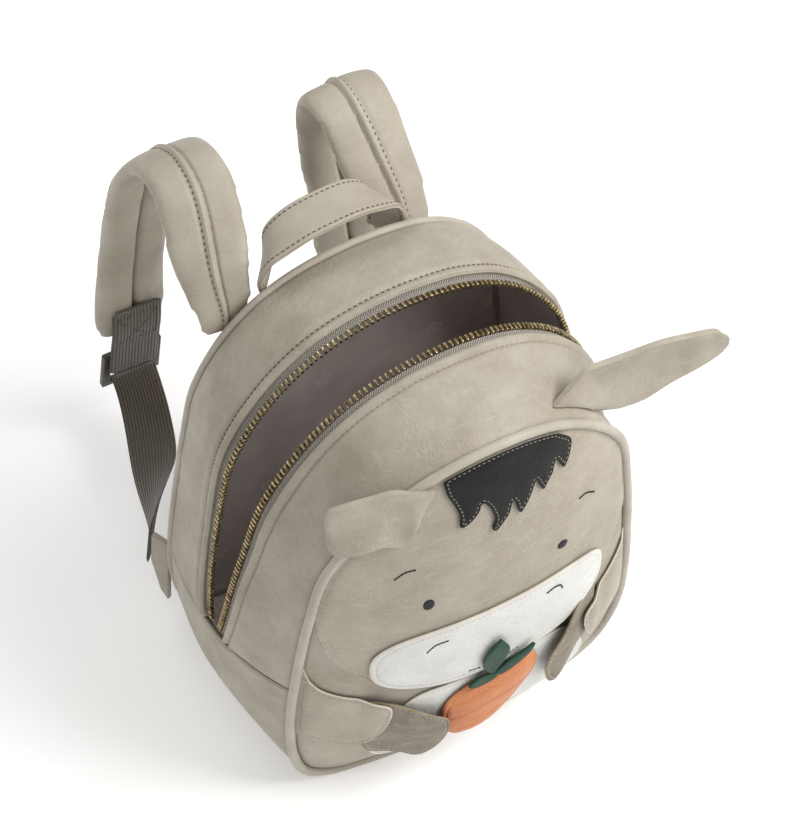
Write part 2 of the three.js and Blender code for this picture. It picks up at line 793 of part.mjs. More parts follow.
// Ears, as rows from the root to the tip: the middle of each row from the root, as shares of the length,
// and half its width outward, backward and upward as shares of half the ear's width.
const earRows = {
  right: [
    { out: 0.19, back: 0.03, rise: 0, lean: -0.43, deep: 0.1, tall: 0.9, cup: 0.16 },
    { out: 0.41, back: 0.02, rise: -0.02, lean: -0.24, deep: 0.08, tall: 0.9, cup: 0.2 },
    { out: 0.61, back: 0, rise: 0.02, lean: -0.19, deep: 0.02, tall: 0.84, cup: 0.16 },
    { out: 0.79, back: -0.02, rise: 0.03, lean: -0.14, deep: 0, tall: 0.7, cup: 0.1 },
    { out: 0.93, back: -0.02, rise: 0.02, lean: -0.1, deep: 0, tall: 0.54, cup: 0.05 },
    { out: 1.01, back: -0.02, rise: 0, lean: -0.02, deep: 0, tall: 0.3, cup: 0 },
    { out: 1.04, back: -0.02, rise: -0.005, lean: 0, deep: 0, tall: 0.08, cup: 0 },
  ],
  left: [
    { out: 0, back: -0.03, rise: 0, lean: -0.12, deep: 0, tall: 0.21, cup: 0 },
    { out: 0.154, back: -0.035, rise: -0.09, lean: -0.02, deep: 0.12, tall: 0.56, cup: 0 },
    { out: 0.308, back: 0.008, rise: -0.163, lean: 0.07, deep: 0.17, tall: 0.81, cup: 0.03 },
    { out: 0.5, back: 0.048, rise: -0.14, lean: 0.07, deep: 0.21, tall: 0.72, cup: 0.05 },
    { out: 0.683, back: 0.087, rise: -0.154, lean: 0.095, deep: 0.24, tall: 0.69, cup: 0.05 },
    { out: 0.83, back: 0.154, rise: -0.21, lean: 0.06, deep: 0.21, tall: 0.64, cup: 0.03 },
    { out: 0.91, back: 0.22, rise: -0.22, lean: 0, deep: 0.12, tall: 0.29, cup: 0 },
    { out: 0.925, back: 0.225, rise: -0.22, lean: 0, deep: 0.02, tall: 0.06, cup: 0 },
  ],
};
const earKeys = ['out', 'back', 'rise', 'lean', 'deep', 'tall', 'cup'];
const earAcross = steps(6, -1, 1);

function earLines(rows, side, start, length, count) {
  return sampled(rows, earKeys, count).map((r) => {
    const centre = start.clone().add(point(side * r.out * length, r.back * length, r.rise * length));
    const half = point(side * r.lean, r.deep, r.tall).multiplyScalar(earWidth / 2);
    const face = half.clone().cross(point(-side, 0, 0)).normalize().multiplyScalar(side);
    return earAcross.map((a) => ({
      spot: centre.clone().addScaledVector(half, a).addScaledVector(face, -r.cup * earWidth * 0.5 * (1 - a * a)),
      face,
    }));
  });
}

function sheet(lines, thick) {
  const grid = (lift) => lines.map((row) => row.map(({ spot, face }) => spot.clone().addScaledVector(face, lift)));
  return shell(grid(thick / 2), grid(-thick / 2));
}

// The right ear stands on the gusset just behind the piping.
const rightSeat = earAcross.map((a) => {
  const high = roundAtHeight('front', earRootHigh, 1);
  const low = roundAtHeight('front', earRootLow, 1);
  const round = mix(low, high, (a + 1) / 2);
  return { spot: gussetPoint(round, earRootAcross, layerGap + seamGap), face: point(0, -1, 0) };
});
const rightStart = rightSeat[3].spot.clone();
place('ear_right', sheet(
  [rightSeat, ...earLines(earRows.right, 1, rightStart, earLength, 9)], earThick,
), taupe, 0.62);

// The left ear is folded forward over the corner of the head.
const leftStart = onFace(-foldedEarRoot, topOfPanel(-foldedEarRoot, headMargin), secondLayer + earThick / 2 - 1.2);
place('ear_left', sheet(earLines(earRows.left, -1, leftStart, foldedEarLength, 9), earThick), taupe, 0.62);

// Grab handle over the top of the back panel
const handleRows = [
  { across: -1, rise: 0, wide: 0.8, turn: 48 },
  { across: -1.04, rise: 0.3, wide: 0.88, turn: 52 },
  { across: -0.9, rise: 0.68, wide: 1, turn: 66 },
  { across: -0.5, rise: 0.94, wide: 1, turn: 84 },
  { across: 0, rise: 1.02, wide: 1, turn: 90 },
  { across: 0.5, rise: 1, wide: 1, turn: 96 },
  { across: 0.9, rise: 0.76, wide: 1, turn: 114 },
  { across: 1.04, rise: 0.36, wide: 0.88, turn: 128 },
  { across: 1, rise: 0, wide: 0.8, turn: 132 },
];
const handleLow = bagHeight - handleFoot;
const handleBack = rearPlane() + pipingRadius - 0.7 + handleWidth / 2;
const handleLine = sampled(handleRows, ['across', 'rise', 'wide', 'turn'], 20);
place('handle', band(
  handleLine.map((r) => point(
    handleShift + (r.across * handleSpan) / 2,
    handleBack + (r.wide - 1) * handleWidth * 0.5,
    handleLow + r.rise * handleRise,
  )),
  handleLine.map((r) => ({ across: level(r.turn), width: handleWidth * r.wide, thick: handleThick })),
  flatSection,
), taupe, 0.6);

// Padded shoulder straps: rows give the reach behind the bag, the height and the place across as shares.
const strapRows = {
  left: [
    { back: 0, up: -0.6, wide: 0.6, thick: 0.4, turn: 0, in: -0.11, roll: 40 },
    { back: 0.05, up: -0.12, wide: 0.78, thick: 0.6, turn: 0, in: -0.12, roll: 36 },
    { back: 0.17, up: 0.2, wide: 0.97, thick: 0.9, turn: 0, in: -0.07, roll: 24 },
    { back: 0.36, up: 0.6, wide: 1, thick: 1, turn: 0, in: 0.02, roll: 12 },
    { back: 0.52, up: 0.66, wide: 1, thick: 1, turn: 0, in: 0.04, roll: 2 },
    { back: 0.67, up: 0.32, wide: 1, thick: 1, turn: 1, in: 0.05, roll: 0 },
    { back: 0.8, up: -0.4, wide: 1, thick: 1, turn: 1, in: 0.04, roll: 0 },
    { back: 0.88, up: -1.3, wide: 1, thick: 1, turn: 0, in: 0.05, roll: 0 },
    { back: 0.93, up: -2.2, wide: 1, thick: 1, turn: -1, in: 0.06, roll: 0 },
    { back: 0.96, up: -3.2, wide: 1, thick: 1, turn: -2, in: 0.06, roll: 0 },
    { back: 0.96, up: -3.85, wide: 0.98, thick: 0.95, turn: -2, in: 0.06, roll: 0 },
    { back: 0.96, up: -4.15, wide: 0.84, thick: 0.7, turn: -2, in: 0.06, roll: 0 },
  ],
  right: [
    { back: 0.012, up: -0.84, wide: 0.58, thick: 0.32, turn: 0, in: 0.22, roll: 24 },
    { back: 0.024, up: -0.64, wide: 0.66, thick: 0.42, turn: 0, in: 0.25, roll: 24 },
    { back: 0.07, up: -0.5, wide: 0.8, thick: 0.7, turn: 0, in: 0.28, roll: 20 },
    { back: 0.19, up: -0.22, wide: 0.95, thick: 0.9, turn: 0, in: 0.28, roll: 12 },
    { back: 0.34, up: 0.18, wide: 1.02, thick: 1, turn: 0, in: 0.3, roll: 6 },
    { back: 0.48, up: 0.54, wide: 1.02, thick: 1, turn: 0, in: 0.32, roll: 0 },
    { back: 0.59, up: 0.52, wide: 1.02, thick: 1, turn: 0, in: 0.33, roll: 0 },
    { back: 0.665, up: 0, wide: 1, thick: 1, turn: 0, in: 0.31, roll: 0 },
    { back: 0.705, up: -1.15, wide: 1, thick: 1, turn: 0, in: 0.21, roll: 0 },
    { back: 0.73, up: -2.2, wide: 1, thick: 1, turn: 4, in: 0.05, roll: 0 },
    { back: 0.77, up: -2.93, wide: 1, thick: 1, turn: 8, in: -0.035, roll: 0 },
    { back: 0.81, up: -3.58, wide: 0.98, thick: 0.95, turn: 8, in: -0.14, roll: 0 },
    { back: 0.84, up: -3.9, wide: 0.8, thick: 0.7, turn: 8, in: -0.22, roll: 0 },
  ],
};
const strapKeys = ['back', 'up', 'wide', 'thick', 'turn', 'in', 'roll'];
const strapSteps = 20;
const webSteps = 13;
const webTwistFrom = 0.3;
const strapFoot = bagHeight - strapFootDrop;
const strapBack = rearPlane() + pipingRadius + 3.2;

function strapSpot(row, side) {
  const x = side * strapOut * (1 - row.in);
  return point(x, strapBack + row.back * strapReach, strapFoot + row.up * strapTop);
}

// Leather tabs in the lower rear seams: reach and height of the corners as shares
const tabCorners = [[0, 0], [0.45, 0.12], [1, 0.55], [0.96, 1], [0, 1]];
const tabStart = { x: 0.975 * halfWidth, y: rearPlane() + pipingRadius + layerGap };
const tabWay = (side) => point(side * 0.4, 0.92, 0);

function tabGeometry(side) {
  const shape = new THREE.Shape(tabCorners.map(([a, b]) => new THREE.Vector2(a * tabReach, b * tabHeight)));
  const geometry = new THREE.ExtrudeGeometry(shape, { depth: tabThick, bevelEnabled: false, steps: 1 });
  const way = tabWay(side).normalize();
  const upward = point(0, 0, 1);
  const through = way.clone().cross(upward);
  geometry.applyMatrix4(new THREE.Matrix4().makeBasis(way, upward, through));
  geometry.translate(side * tabStart.x, tabStart.y, tabUp);
  geometry.translate(-through.x * tabThick / 2, -through.y * tabThick / 2, 0);
  return closed(geometry);
}

function closed(geometry) {
  geometry.deleteAttribute('normal');
  geometry.deleteAttribute('uv');
  return mergeVertices(geometry, 0.001);
}

// Buckle: a flat frame with two slots either side of its middle bar
function buckleGeometry(centre, wide, down) {
  const rectangle = (target, w, h, middle) => {
    target.moveTo(-w / 2, middle - h / 2);
    target.lineTo(w / 2, middle - h / 2);
    target.lineTo(w / 2, middle + h / 2);
    target.lineTo(-w / 2, middle + h / 2);
    target.closePath();
    return target;
  };
  const shape = rectangle(new THREE.Shape(), buckleWidth, buckleHeight, 0);
  const slotHeight = (buckleHeight - 3 * buckleBar) / 2;
  const slotMiddle = (slotHeight + buckleBar) / 2;
  for (const middle of [-slotMiddle, slotMiddle]) {
    shape.holes.push(rectangle(new THREE.Path(), buckleWidth - 2 * buckleBar, slotHeight, middle));
  }
  const geometry = new THREE.ExtrudeGeometry(shape, { depth: buckleThick, bevelEnabled: false, steps: 1 });
  geometry.translate(0, 0, -buckleThick / 2);
  geometry.applyMatrix4(new THREE.Matrix4().makeBasis(wide, down, wide.clone().cross(down)));
  geometry.translate(centre.x, centre.y, centre.z);
  return closed(geometry);
}

// Straps with their webbing: a stitched end patch, a buckle, and the band that runs down to the tab
for (const [name, side] of [['left', -1], ['right', 1]]) {
  const rows = sampled(strapRows[name], strapKeys, strapSteps);
  const line = rows.map((row) => strapSpot(row, side));
  const strapBand = rows.map((row) => ({
    across: level(-side * row.turn).add(point(0, 0, -side * Math.tan(turns(row.roll)))),
    width: strapWidth * row.wide,
    thick: strapThick * row.thick,
  }));
  place(`shoulder_strap_${name}`, band(line, strapBand, padSection), taupe, 0.6);

  const patchFrom = line.findIndex((p) => p.distanceTo(line.at(-1)) < patchOnStrap + 4);
  const inner = line.slice(patchFrom).map((p, i) => {
    const index = patchFrom + i;
    const along = line[Math.min(index + 1, line.length - 1)].clone().sub(line[index - 1]).normalize();
    const inward = along.clone().cross(strapBand[index].across).normalize();
    const standOff = strapBand[index].thick / 2 + layerGap + webThick / 2;
    return p.clone().addScaledVector(inward, standOff);
  });
  const end = inner.at(-1);
  const down = end.clone().sub(inner.at(-3)).normalize();
  const wide = strapBand.at(-1).across.clone();
  wide.addScaledVector(down, -wide.dot(down)).normalize();
  const inward = down.clone().cross(wide).normalize();
  const below = (along) => end.clone().addScaledVector(down, along);
  const patchLine = [...inner, below(patchHang / 2), below(patchHang)];
  const patchBand = patchLine.map((_, i) => ({
    across: i < inner.length ? strapBand[patchFrom + i].across : wide, width: webWidth + 3, thick: webThick,
  }));
  place(`strap_patch_${name}`, band(patchLine, patchBand, flatSection), webBrown, 0.9);

  const behind = -(webThick + buckleThick) / 2 - layerGap - 0.35;
  const buckleCentre = below(patchHang).addScaledVector(inward, behind);
  place(`buckle_${name}`, buckleGeometry(buckleCentre, wide, down), '#3f3630', 0.5);

  const way = tabWay(side).normalize();
  const from = below(patchHang + 2 * layerGap + 4);
  const to = point(side * tabStart.x, tabStart.y, tabUp + tabHeight * 0.76).addScaledVector(way, tabReach + 3.8 * layerGap);
  const sag = point(-side * webSag, 0, -webSag);
  const webCurve = new THREE.CubicBezierCurve3(
    from,
    from.clone().lerp(to, 0.16).addScaledVector(down, 0.7 * buckleHeight).add(sag),
    from.clone().lerp(to, 0.75).add(sag),
    to,
  );
  const webLine = [below(patchHang + 2 * layerGap), ...webCurve.getPoints(webSteps)];
  const webBand = webLine.map((_, i) => ({
    across: wide.clone().lerp(point(0, 0, -side), ease(i / (webSteps + 1), webTwistFrom, 1)),
    width: webWidth,
    thick: webThick,
  }));
  place(`webbing_${name}`, band(webLine, webBand, flatSection, true), webBrown, 0.9);
  place(`strap_tab_${name}`, tabGeometry(side), taupeDark, 0.65);
}

export default part;
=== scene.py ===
import math
import bpy
import numpy as np
from mathutils import Matrix, Vector, noise
from mathutils.geometry import delaunay_2d_cdt


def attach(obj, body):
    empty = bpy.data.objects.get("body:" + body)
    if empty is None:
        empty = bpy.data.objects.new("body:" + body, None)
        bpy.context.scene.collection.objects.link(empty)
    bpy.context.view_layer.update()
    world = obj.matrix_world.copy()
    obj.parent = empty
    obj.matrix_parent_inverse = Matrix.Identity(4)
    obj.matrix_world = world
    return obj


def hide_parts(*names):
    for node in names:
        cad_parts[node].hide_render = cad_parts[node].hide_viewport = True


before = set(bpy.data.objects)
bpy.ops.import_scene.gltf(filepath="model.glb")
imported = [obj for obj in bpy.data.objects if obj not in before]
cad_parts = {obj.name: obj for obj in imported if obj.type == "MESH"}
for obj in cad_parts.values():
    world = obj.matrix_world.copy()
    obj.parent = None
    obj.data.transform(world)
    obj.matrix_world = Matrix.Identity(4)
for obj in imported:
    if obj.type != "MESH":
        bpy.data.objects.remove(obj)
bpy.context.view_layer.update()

scene = bpy.context.scene
mm = 0.001

# Sizes of the bag, in millimetres, as in the part's source
bag = {
    "halfWidth": 98.8, "height": 257, "depth": 134, "wall": 2.2, "backWall": 3.2,
    "seamGap": 0.3, "layerGap": 0.6, "piping": 2.1,
    "frontCrown": 17, "frontRecede": 12.5, "frontTuck": 7.5, "frontTuckHeight": 60, "frontShift": -1.6,
    "backCrown": 6, "gussetSwell": 9.5, "baseSoft": 55, "panelMiddle": 118,
    "sideSeamFront": 97, "sideSeamRear": 74, "leather": 1.2,
}
outlineRows = [  # height, front and rear piping line, as shares
    (1, 0, 0), (0.975, 0.33, 0.385), (0.9, 0.6, 0.665), (0.77, 0.835, 0.86), (0.62, 0.915, 0.925),
    (0.45, 0.965, 0.97), (0.28, 0.99, 1), (0.15, 0.965, 0.985), (0.045, 0.865, 0.9), (0, 0.69, 0.72), (0, 0.5, 0.5),
]
dentRows = [  # round, across, depth, wide, long
    (0.645, 0.84, 0.75, 0.05, 0.13), (0.36, 0.8, 0.45, 0.06, 0.14),
    (0.25, 0.62, -0.25, 0.07, 0.25), (0.56, 0.2, -0.2, 0.08, 0.2),
]


def ease(value, low, high):
    t = np.clip((np.asarray(value, float) - low) / (high - low), 0, 1)
    return t * t * (3 - 2 * t)


def splineThrough(points, closed=False, perSpan=40):
    pts = [np.array(p, float) for p in points]
    n = len(pts)
    out = []
    for i in range(n if closed else n - 1):
        p1, p2 = pts[i], pts[(i + 1) % n]
        p0 = pts[(i - 1) % n] if closed or i > 0 else 2 * p1 - p2
        p3 = pts[(i + 2) % n] if closed or i + 2 < n else 2 * p2 - p1
        d0, d1, d2 = [max(np.linalg.norm(b - a), 1e-6) ** 0.5 for a, b in ((p0, p1), (p1, p2), (p2, p3))]
        t1 = ((p1 - p0) / d0 - (p2 - p0) / (d0 + d1) + (p2 - p1) / d1) * d1
        t2 = ((p2 - p1) / d1 - (p3 - p1) / (d1 + d2) + (p3 - p2) / d2) * d1
        for k in range(perSpan):
            t = k / perSpan
            out.append(p1 + t1 * t + (3 * (p2 - p1) - 2 * t1 - t2) * t * t + (2 * (p1 - p2) + t1 + t2) * t ** 3)
    out.append(pts[0] if closed else pts[-1])
    return np.array(out)


def outlineTable(column):
    half = [(row[column] * bag["halfWidth"], row[0] * bag["height"]) for row in outlineRows]
    left = [(-x, z) for x, z in half[1:]][::-1]
    line = splineThrough([(0, 0)] + left + half, closed=True)
    run = np.concatenate([[0], np.cumsum(np.linalg.norm(np.diff(line, axis=0), axis=1))])
    return run / run[-1], line, run[-1]


outlineTables = {"front": outlineTable(1), "rear": outlineTable(2)}


def outlineAt(column, turn):
    share, line, _ = outlineTables[column]
    t = np.mod(np.asarray(turn, float), 1)
    x = np.interp(t, share, line[:, 0]) + (bag["frontShift"] if column == "front" else 0)
    return x, np.maximum(np.interp(t, share, line[:, 1]), 0)


def outwardAt(column, turn):
    ax, az = outlineAt(column, np.asarray(turn) + 0.004)
    bx, bz = outlineAt(column, np.asarray(turn) - 0.004)
    size = np.hypot(ax - bx, az - bz)
    return -(az - bz) / size, (ax - bx) / size


def turnAtHeight(column, height):
    low, high = 0.13, 0.5
    for _ in range(30):
        middle = (low + high) / 2
        if outlineAt(column, middle)[1] < height:
            low = middle
        else:
            high = middle
    return low


def frontPlane(x, z):
    tuck = bag["frontTuck"] * np.maximum(1 - z / bag["frontTuckHeight"], 0) ** 2
    return -bag["depth"] / 2 + bag["frontRecede"] * (x / bag["halfWidth"]) ** 2 + tuck


rearPlane = bag["depth"] / 2


def seamPoint(column, turn, inset, inward):
    x, z = outlineAt(column, turn)
    ox, oz = outwardAt(column, turn)
    x, z = x - ox * inset, z - oz * inset
    y = frontPlane(x, z) + inward if column == "front" else rearPlane - inward + 0 * x
    return np.stack([x, y, z], -1)


def gussetPoint(turn, across, lift=0):
    turn, across = np.broadcast_arrays(np.asarray(turn, float), np.asarray(across, float))
    reach = bag["piping"] + bag["seamGap"]
    rear, front = seamPoint("rear", turn, 0, reach), seamPoint("front", turn, 0, reach)
    rx, rz = outwardAt("rear", turn)
    fx, fz = outwardAt("front", turn)
    out = np.stack([rx + fx, 0 * rx, rz + fz], -1)
    out /= np.linalg.norm(out, axis=-1, keepdims=True)
    p = rear + (front - rear) * across[..., None]
    soft = ease(p[..., 2], 1, bag["baseSoft"])
    swell = bag["gussetSwell"] * 4 * across * (1 - across) * soft
    for spot, side, depth, wide, long in dentRows:
        swell = swell - bag["gussetSwell"] * depth * soft * np.exp(-((turn - spot) / wide) ** 2 - ((across - side) / long) ** 2)
    dip = 0.6 * (1 - ease(np.minimum(across, 1 - across), 0, 0.09))
    return p + out * (swell - dip + lift)[..., None]


def edgeTable(column):
    p = seamPoint(column, np.arange(480) / 480, 2 * bag["piping"] + bag["seamGap"], 0)
    angle = np.arctan2(p[:, 2] - bag["panelMiddle"], p[:, 0])
    far = np.hypot(p[:, 0], p[:, 2] - bag["panelMiddle"])
    order = np.argsort(angle)
    return angle[order], far[order]


edgeTables = {"front": edgeTable("front"), "rear": edgeTable("rear")}


def shareOfPanel(column, x, z):
    angle, far = edgeTables[column]
    at = np.arctan2(z - bag["panelMiddle"], x)
    return np.hypot(x, z - bag["panelMiddle"]) / np.interp(at, angle, far, period=2 * math.pi)


def softFold(x, y, z, size):  # slow unevenness of soft leather
    flat = np.stack(np.broadcast_arrays(x, y, z), -1).reshape(-1, 3) / size
    value = np.array([noise.noise(Vector(p)) for p in flat])
    return value.reshape(np.broadcast(x, y, z).shape)


def faceDepth(x, z):
    share = np.minimum(shareOfPanel("front", x, z), 1)
    return frontPlane(x, z) - bag["frontCrown"] * (1 - share ** 2.4)


def backDepth(x, z):
    return rearPlane + bag["backCrown"] * (1 - np.minimum(shareOfPanel("rear", x, z), 1) ** 2.4)


def onFace(x, z, lift):
    x, z, lift = np.broadcast_arrays(np.asarray(x, float), np.asarray(z, float), np.asarray(lift, float))
    slopeX = faceDepth(x + 0.5, z) - faceDepth(x - 0.5, z)
    slopeZ = faceDepth(x, z + 0.5) - faceDepth(x, z - 0.5)
    normal = np.stack([slopeX, -np.ones_like(x), slopeZ], -1)
    normal /= np.linalg.norm(normal, axis=-1, keepdims=True)
    wave = 0.35 * softFold(x, 0 * x, z, 26)
    return np.stack([x, faceDepth(x, z), z], -1) + normal * (lift + wave)[..., None]


# Making and finishing pieces
def clearPick():
    if bpy.context.mode != "OBJECT":
        bpy.ops.object.mode_set(mode="OBJECT")
    bpy.ops.object.select_all(action="DESELECT")


def pickOnly(obj):
    clearPick()
    obj.select_set(True)
    bpy.context.view_layer.objects.active = obj


def inEdit(obj, work):
    pickOnly(obj)
    bpy.ops.object.mode_set(mode="EDIT")
    bpy.ops.mesh.select_all(action="SELECT")
    work()
    bpy.ops.object.mode_set(mode="OBJECT")


def shapedGrid(name, along, across, place, ringed=False):
    clearPick()
    bpy.ops.mesh.primitive_grid_add(x_subdivisions=along, y_subdivisions=across, size=1)
    obj = bpy.context.object
    obj.name = name
    co = np.zeros(len(obj.data.vertices) * 3)
    obj.data.vertices.foreach_get("co", co)
    co = co.reshape(-1, 3)
    spots = place(np.round(co[:, 0] + 0.5, 6), np.round(co[:, 1] + 0.5, 6)) * mm
    obj.data.vertices.foreach_set("co", spots.ravel())
    if ringed:
        inEdit(obj, lambda: bpy.ops.mesh.remove_doubles(threshold=1e-6))
    return obj


def faceOut(obj, hint=None):
    obj.data.update()
    total = 0
    middle = Vector((0, 0, bag["panelMiddle"] * mm))
    for f in obj.data.polygons:
        way = Vector(hint) if hint else f.center - middle
        total += f.normal.dot(way) * f.area
    if total < 0:
        inEdit(obj, lambda: bpy.ops.mesh.flip_normals())


def addModifier(obj, kind, **values):
    mod = obj.modifiers.new(kind.title(), kind)
    for key, value in values.items():
        setattr(mod, key, value)
    pickOnly(obj)
    bpy.ops.object.modifier_apply(modifier=mod.name)


def smooth(obj, angle=40):
    pickOnly(obj)
    bpy.ops.object.shade_smooth_by_angle(angle=math.radians(angle))


def finishPiece(obj, material, replaced=(), edge=None, angle=40):
    obj.data.materials.clear()
    obj.data.materials.append(material)
    if edge:
        obj.data.materials.append(edge)
    smooth(obj, angle)
    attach(obj, "root")
    if replaced:
        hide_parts(*replaced)
    return obj


def walled(obj, thick, bevel=0.3, segments=2, rim=0, side=-1):
    addModifier(obj, "SOLIDIFY", thickness=thick * mm, offset=side, use_even_offset=True, material_offset_rim=rim)
    if bevel:
        addModifier(obj, "BEVEL", width=bevel * mm, segments=segments, limit_method="ANGLE", angle_limit=math.radians(50))


# Copies of one small piece along a line
def seedMesh(obj):
    mesh = obj.data
    co = np.zeros(len(mesh.vertices) * 3)
    mesh.vertices.foreach_get("co", co)
    faces = [list(f.vertices) for f in mesh.polygons]
    bpy.data.objects.remove(obj)
    return co.reshape(-1, 3), faces


def copiesOf(name, seed, spots, along, up, material, sizes=None):
    co, faces = seed
    side = np.cross(up, along)
    side /= np.linalg.norm(side, axis=1, keepdims=True)
    up = np.cross(along, side)
    sizes = np.ones((len(spots), 3)) if sizes is None else sizes
    scaled = co[None] * sizes[:, None]
    turned = scaled[..., :1] * along[:, None] + scaled[..., 1:2] * side[:, None] + scaled[..., 2:] * up[:, None]
    points = ((turned + spots[:, None]) * mm).reshape(-1, 3)
    allFaces = [[v + i * len(co) for v in f] for i in range(len(spots)) for f in faces]
    mesh = bpy.data.meshes.new(name)
    mesh.from_pydata(points.tolist(), [], allFaces)
    obj = bpy.data.objects.new(name, mesh)
    scene.collection.objects.link(obj)
    return finishPiece(obj, material, angle=70)


def evenly(line, high, pitch, phase=0.5, closed=False):
    if closed:
        line, high = np.vstack([line, line[:1]]), np.vstack([high, high[:1]])
    run = np.concatenate([[0], np.cumsum(np.linalg.norm(np.diff(line, axis=0), axis=1))])
    count = max(int(run[-1] / pitch), 1)
    at = (np.arange(count) + phase) * run[-1] / count
    pick = lambda a, t: np.stack([np.interp(t, run, a[:, k]) for k in range(3)], -1)
    spots = pick(line, at)
    along = pick(line, np.minimum(at + 0.6, run[-1])) - pick(line, np.maximum(at - 0.6, 0))
    along /= np.linalg.norm(along, axis=1, keepdims=True)
    up = pick(high, at) - spots
    up /= np.linalg.norm(up, axis=1, keepdims=True)
    return spots, along, up


clearPick()
bpy.ops.mesh.primitive_uv_sphere_add(segments=7, ring_count=6, radius=1)
stitchObject = bpy.context.object
for v in stitchObject.data.vertices:  # a thread that dives into the leather at both ends
    v.co.z = v.co.z * 0.8 - 1.1 * v.co.x ** 4
stitchSeed = seedMesh(stitchObject)


def stitches(name, line, high, material, pitch=3.1, length=2.3, thick=0.3, closed=False, slant=0):
    spots, along, up = evenly(line, high, pitch, closed=closed)
    if slant:
        side = np.cross(up, along)
        along = along + side * slant
        along /= np.linalg.norm(along, axis=1, keepdims=True)
    sizes = np.tile([length / 2, thick, thick], (len(spots), 1))
    return copiesOf(name, stitchSeed, spots, along, up, material, sizes)


# Materials
def makeNode(tree, kind, links=(), **values):
    n = tree.nodes.new(kind)
    for key, value in values.items():
        if key.startswith("in"):
            n.inputs[int(key[2:])].default_value = value
        else:
            setattr(n, key, value)
    for socket, source in links:
        tree.links.new(source, n.inputs[socket])
    return n


def newMaterial(name, rough=0.6, metal=0.0, specular=0.5, sheen=0.0, coat=0.0):
    mat = bpy.data.materials.new(name)
    mat.use_nodes = True
    shader = mat.node_tree.nodes["Principled BSDF"]
    shader.inputs["Roughness"].default_value = rough
    shader.inputs["Metallic"].default_value = metal
    shader.inputs["Specular IOR Level"].default_value = specular
    shader.inputs["Sheen Weight"].default_value = sheen
    shader.inputs["Coat Weight"].default_value = coat
    return mat, mat.node_tree, shader


def objectCoords(tree, scale=(1, 1, 1), turn=(0, 0, 0)):
    coords = makeNode(tree, "ShaderNodeTexCoord")
    mapping = makeNode(tree, "ShaderNodeMapping", [(0, coords.outputs["Object"])], in2=turn, in3=scale)
    return mapping.outputs[0]


def noiseAt(tree, place, scale, detail=4, rough=0.55, warp=0):
    return makeNode(tree, "ShaderNodeTexNoise", [("Vector", place)], in2=scale, in3=detail, in4=rough, in8=warp)


def rangeOf(tree, value, fromLow, fromHigh, toLow=0.0, toHigh=1.0):
    n = makeNode(tree, "ShaderNodeMapRange", [(0, value)])
    for index, number in zip((1, 2, 3, 4), (fromLow, fromHigh, toLow, toHigh)):
        n.inputs[index].default_value = number
    return n.outputs[0]


def sumOf(tree, a, b, kind="ADD", factor=None):
    n = makeNode(tree, "ShaderNodeMath", [(0, a)], operation=kind)
    if factor is not None:
        n.inputs[1].default_value = factor
    else:
        tree.links.new(b, n.inputs[1])
    return n.outputs[0]


def mixColours(tree, factor, a, b):
    n = makeNode(tree, "ShaderNodeMix", data_type="RGBA")
    tree.links.new(factor, n.inputs[0])
    for index, colour in ((6, a), (7, b)):
        if isinstance(colour, tuple):
            n.inputs[index].default_value = (*colour, 1)
        else:
            tree.links.new(colour, n.inputs[index])
    return n.outputs[2]


def bumpOf(tree, shader, height, strength, distance):
    n = makeNode(tree, "ShaderNodeBump", [("Height", height)], in0=strength, in1=distance)
    tree.links.new(n.outputs[0], shader.inputs["Normal"])


leatherLooks = {
    "taupe": dict(base=(0.41, 0.373, 0.307), dark=(0.316, 0.279, 0.221), light=(0.558, 0.521, 0.451)),
    "face": dict(base=(0.399, 0.357, 0.29), dark=(0.311, 0.273, 0.214), light=(0.554, 0.512, 0.437), streak=0.8),
    "back": dict(base=(0.328, 0.291, 0.238), dark=(0.246, 0.217, 0.176), light=(0.426, 0.389, 0.328)),
    "strap": dict(base=(0.431, 0.392, 0.321), dark=(0.352, 0.312, 0.251), light=(0.528, 0.488, 0.414), crease=0.35),
    "piping": dict(base=(0.475, 0.44, 0.376), dark=(0.37, 0.335, 0.278), light=(0.6, 0.565, 0.5), crease=0.3),
    "pale": dict(base=(0.7, 0.695, 0.668), dark=(0.585, 0.585, 0.56), light=(0.81, 0.802, 0.78), streak=0.9, rough=0.42),
    "cream": dict(base=(0.72, 0.661, 0.567), dark=(0.594, 0.531, 0.432), light=(0.81, 0.756, 0.675), crease=0.2),
    "black": dict(base=(0.008, 0.008, 0.008), dark=(0.004, 0.004, 0.004), light=(0.014, 0.014, 0.014), rough=0.5, streak=0.3, specular=0.2),
    "hoof": dict(base=(0.27, 0.235, 0.182), dark=(0.165, 0.14, 0.107), light=(0.44, 0.4, 0.33), streak=1.6, rough=0.72),
    "orange": dict(base=(0.602, 0.211, 0.073), dark=(0.473, 0.142, 0.043), light=(0.714, 0.327, 0.146), rough=0.5),
    "green": dict(base=(0.011, 0.06, 0.034), dark=(0.006, 0.036, 0.021), light=(0.02, 0.08, 0.048), rough=0.5, specular=0.2),
    "olive": dict(base=(0.36, 0.27, 0.14), dark=(0.24, 0.175, 0.085), light=(0.5, 0.4, 0.24), crease=0.2),
}


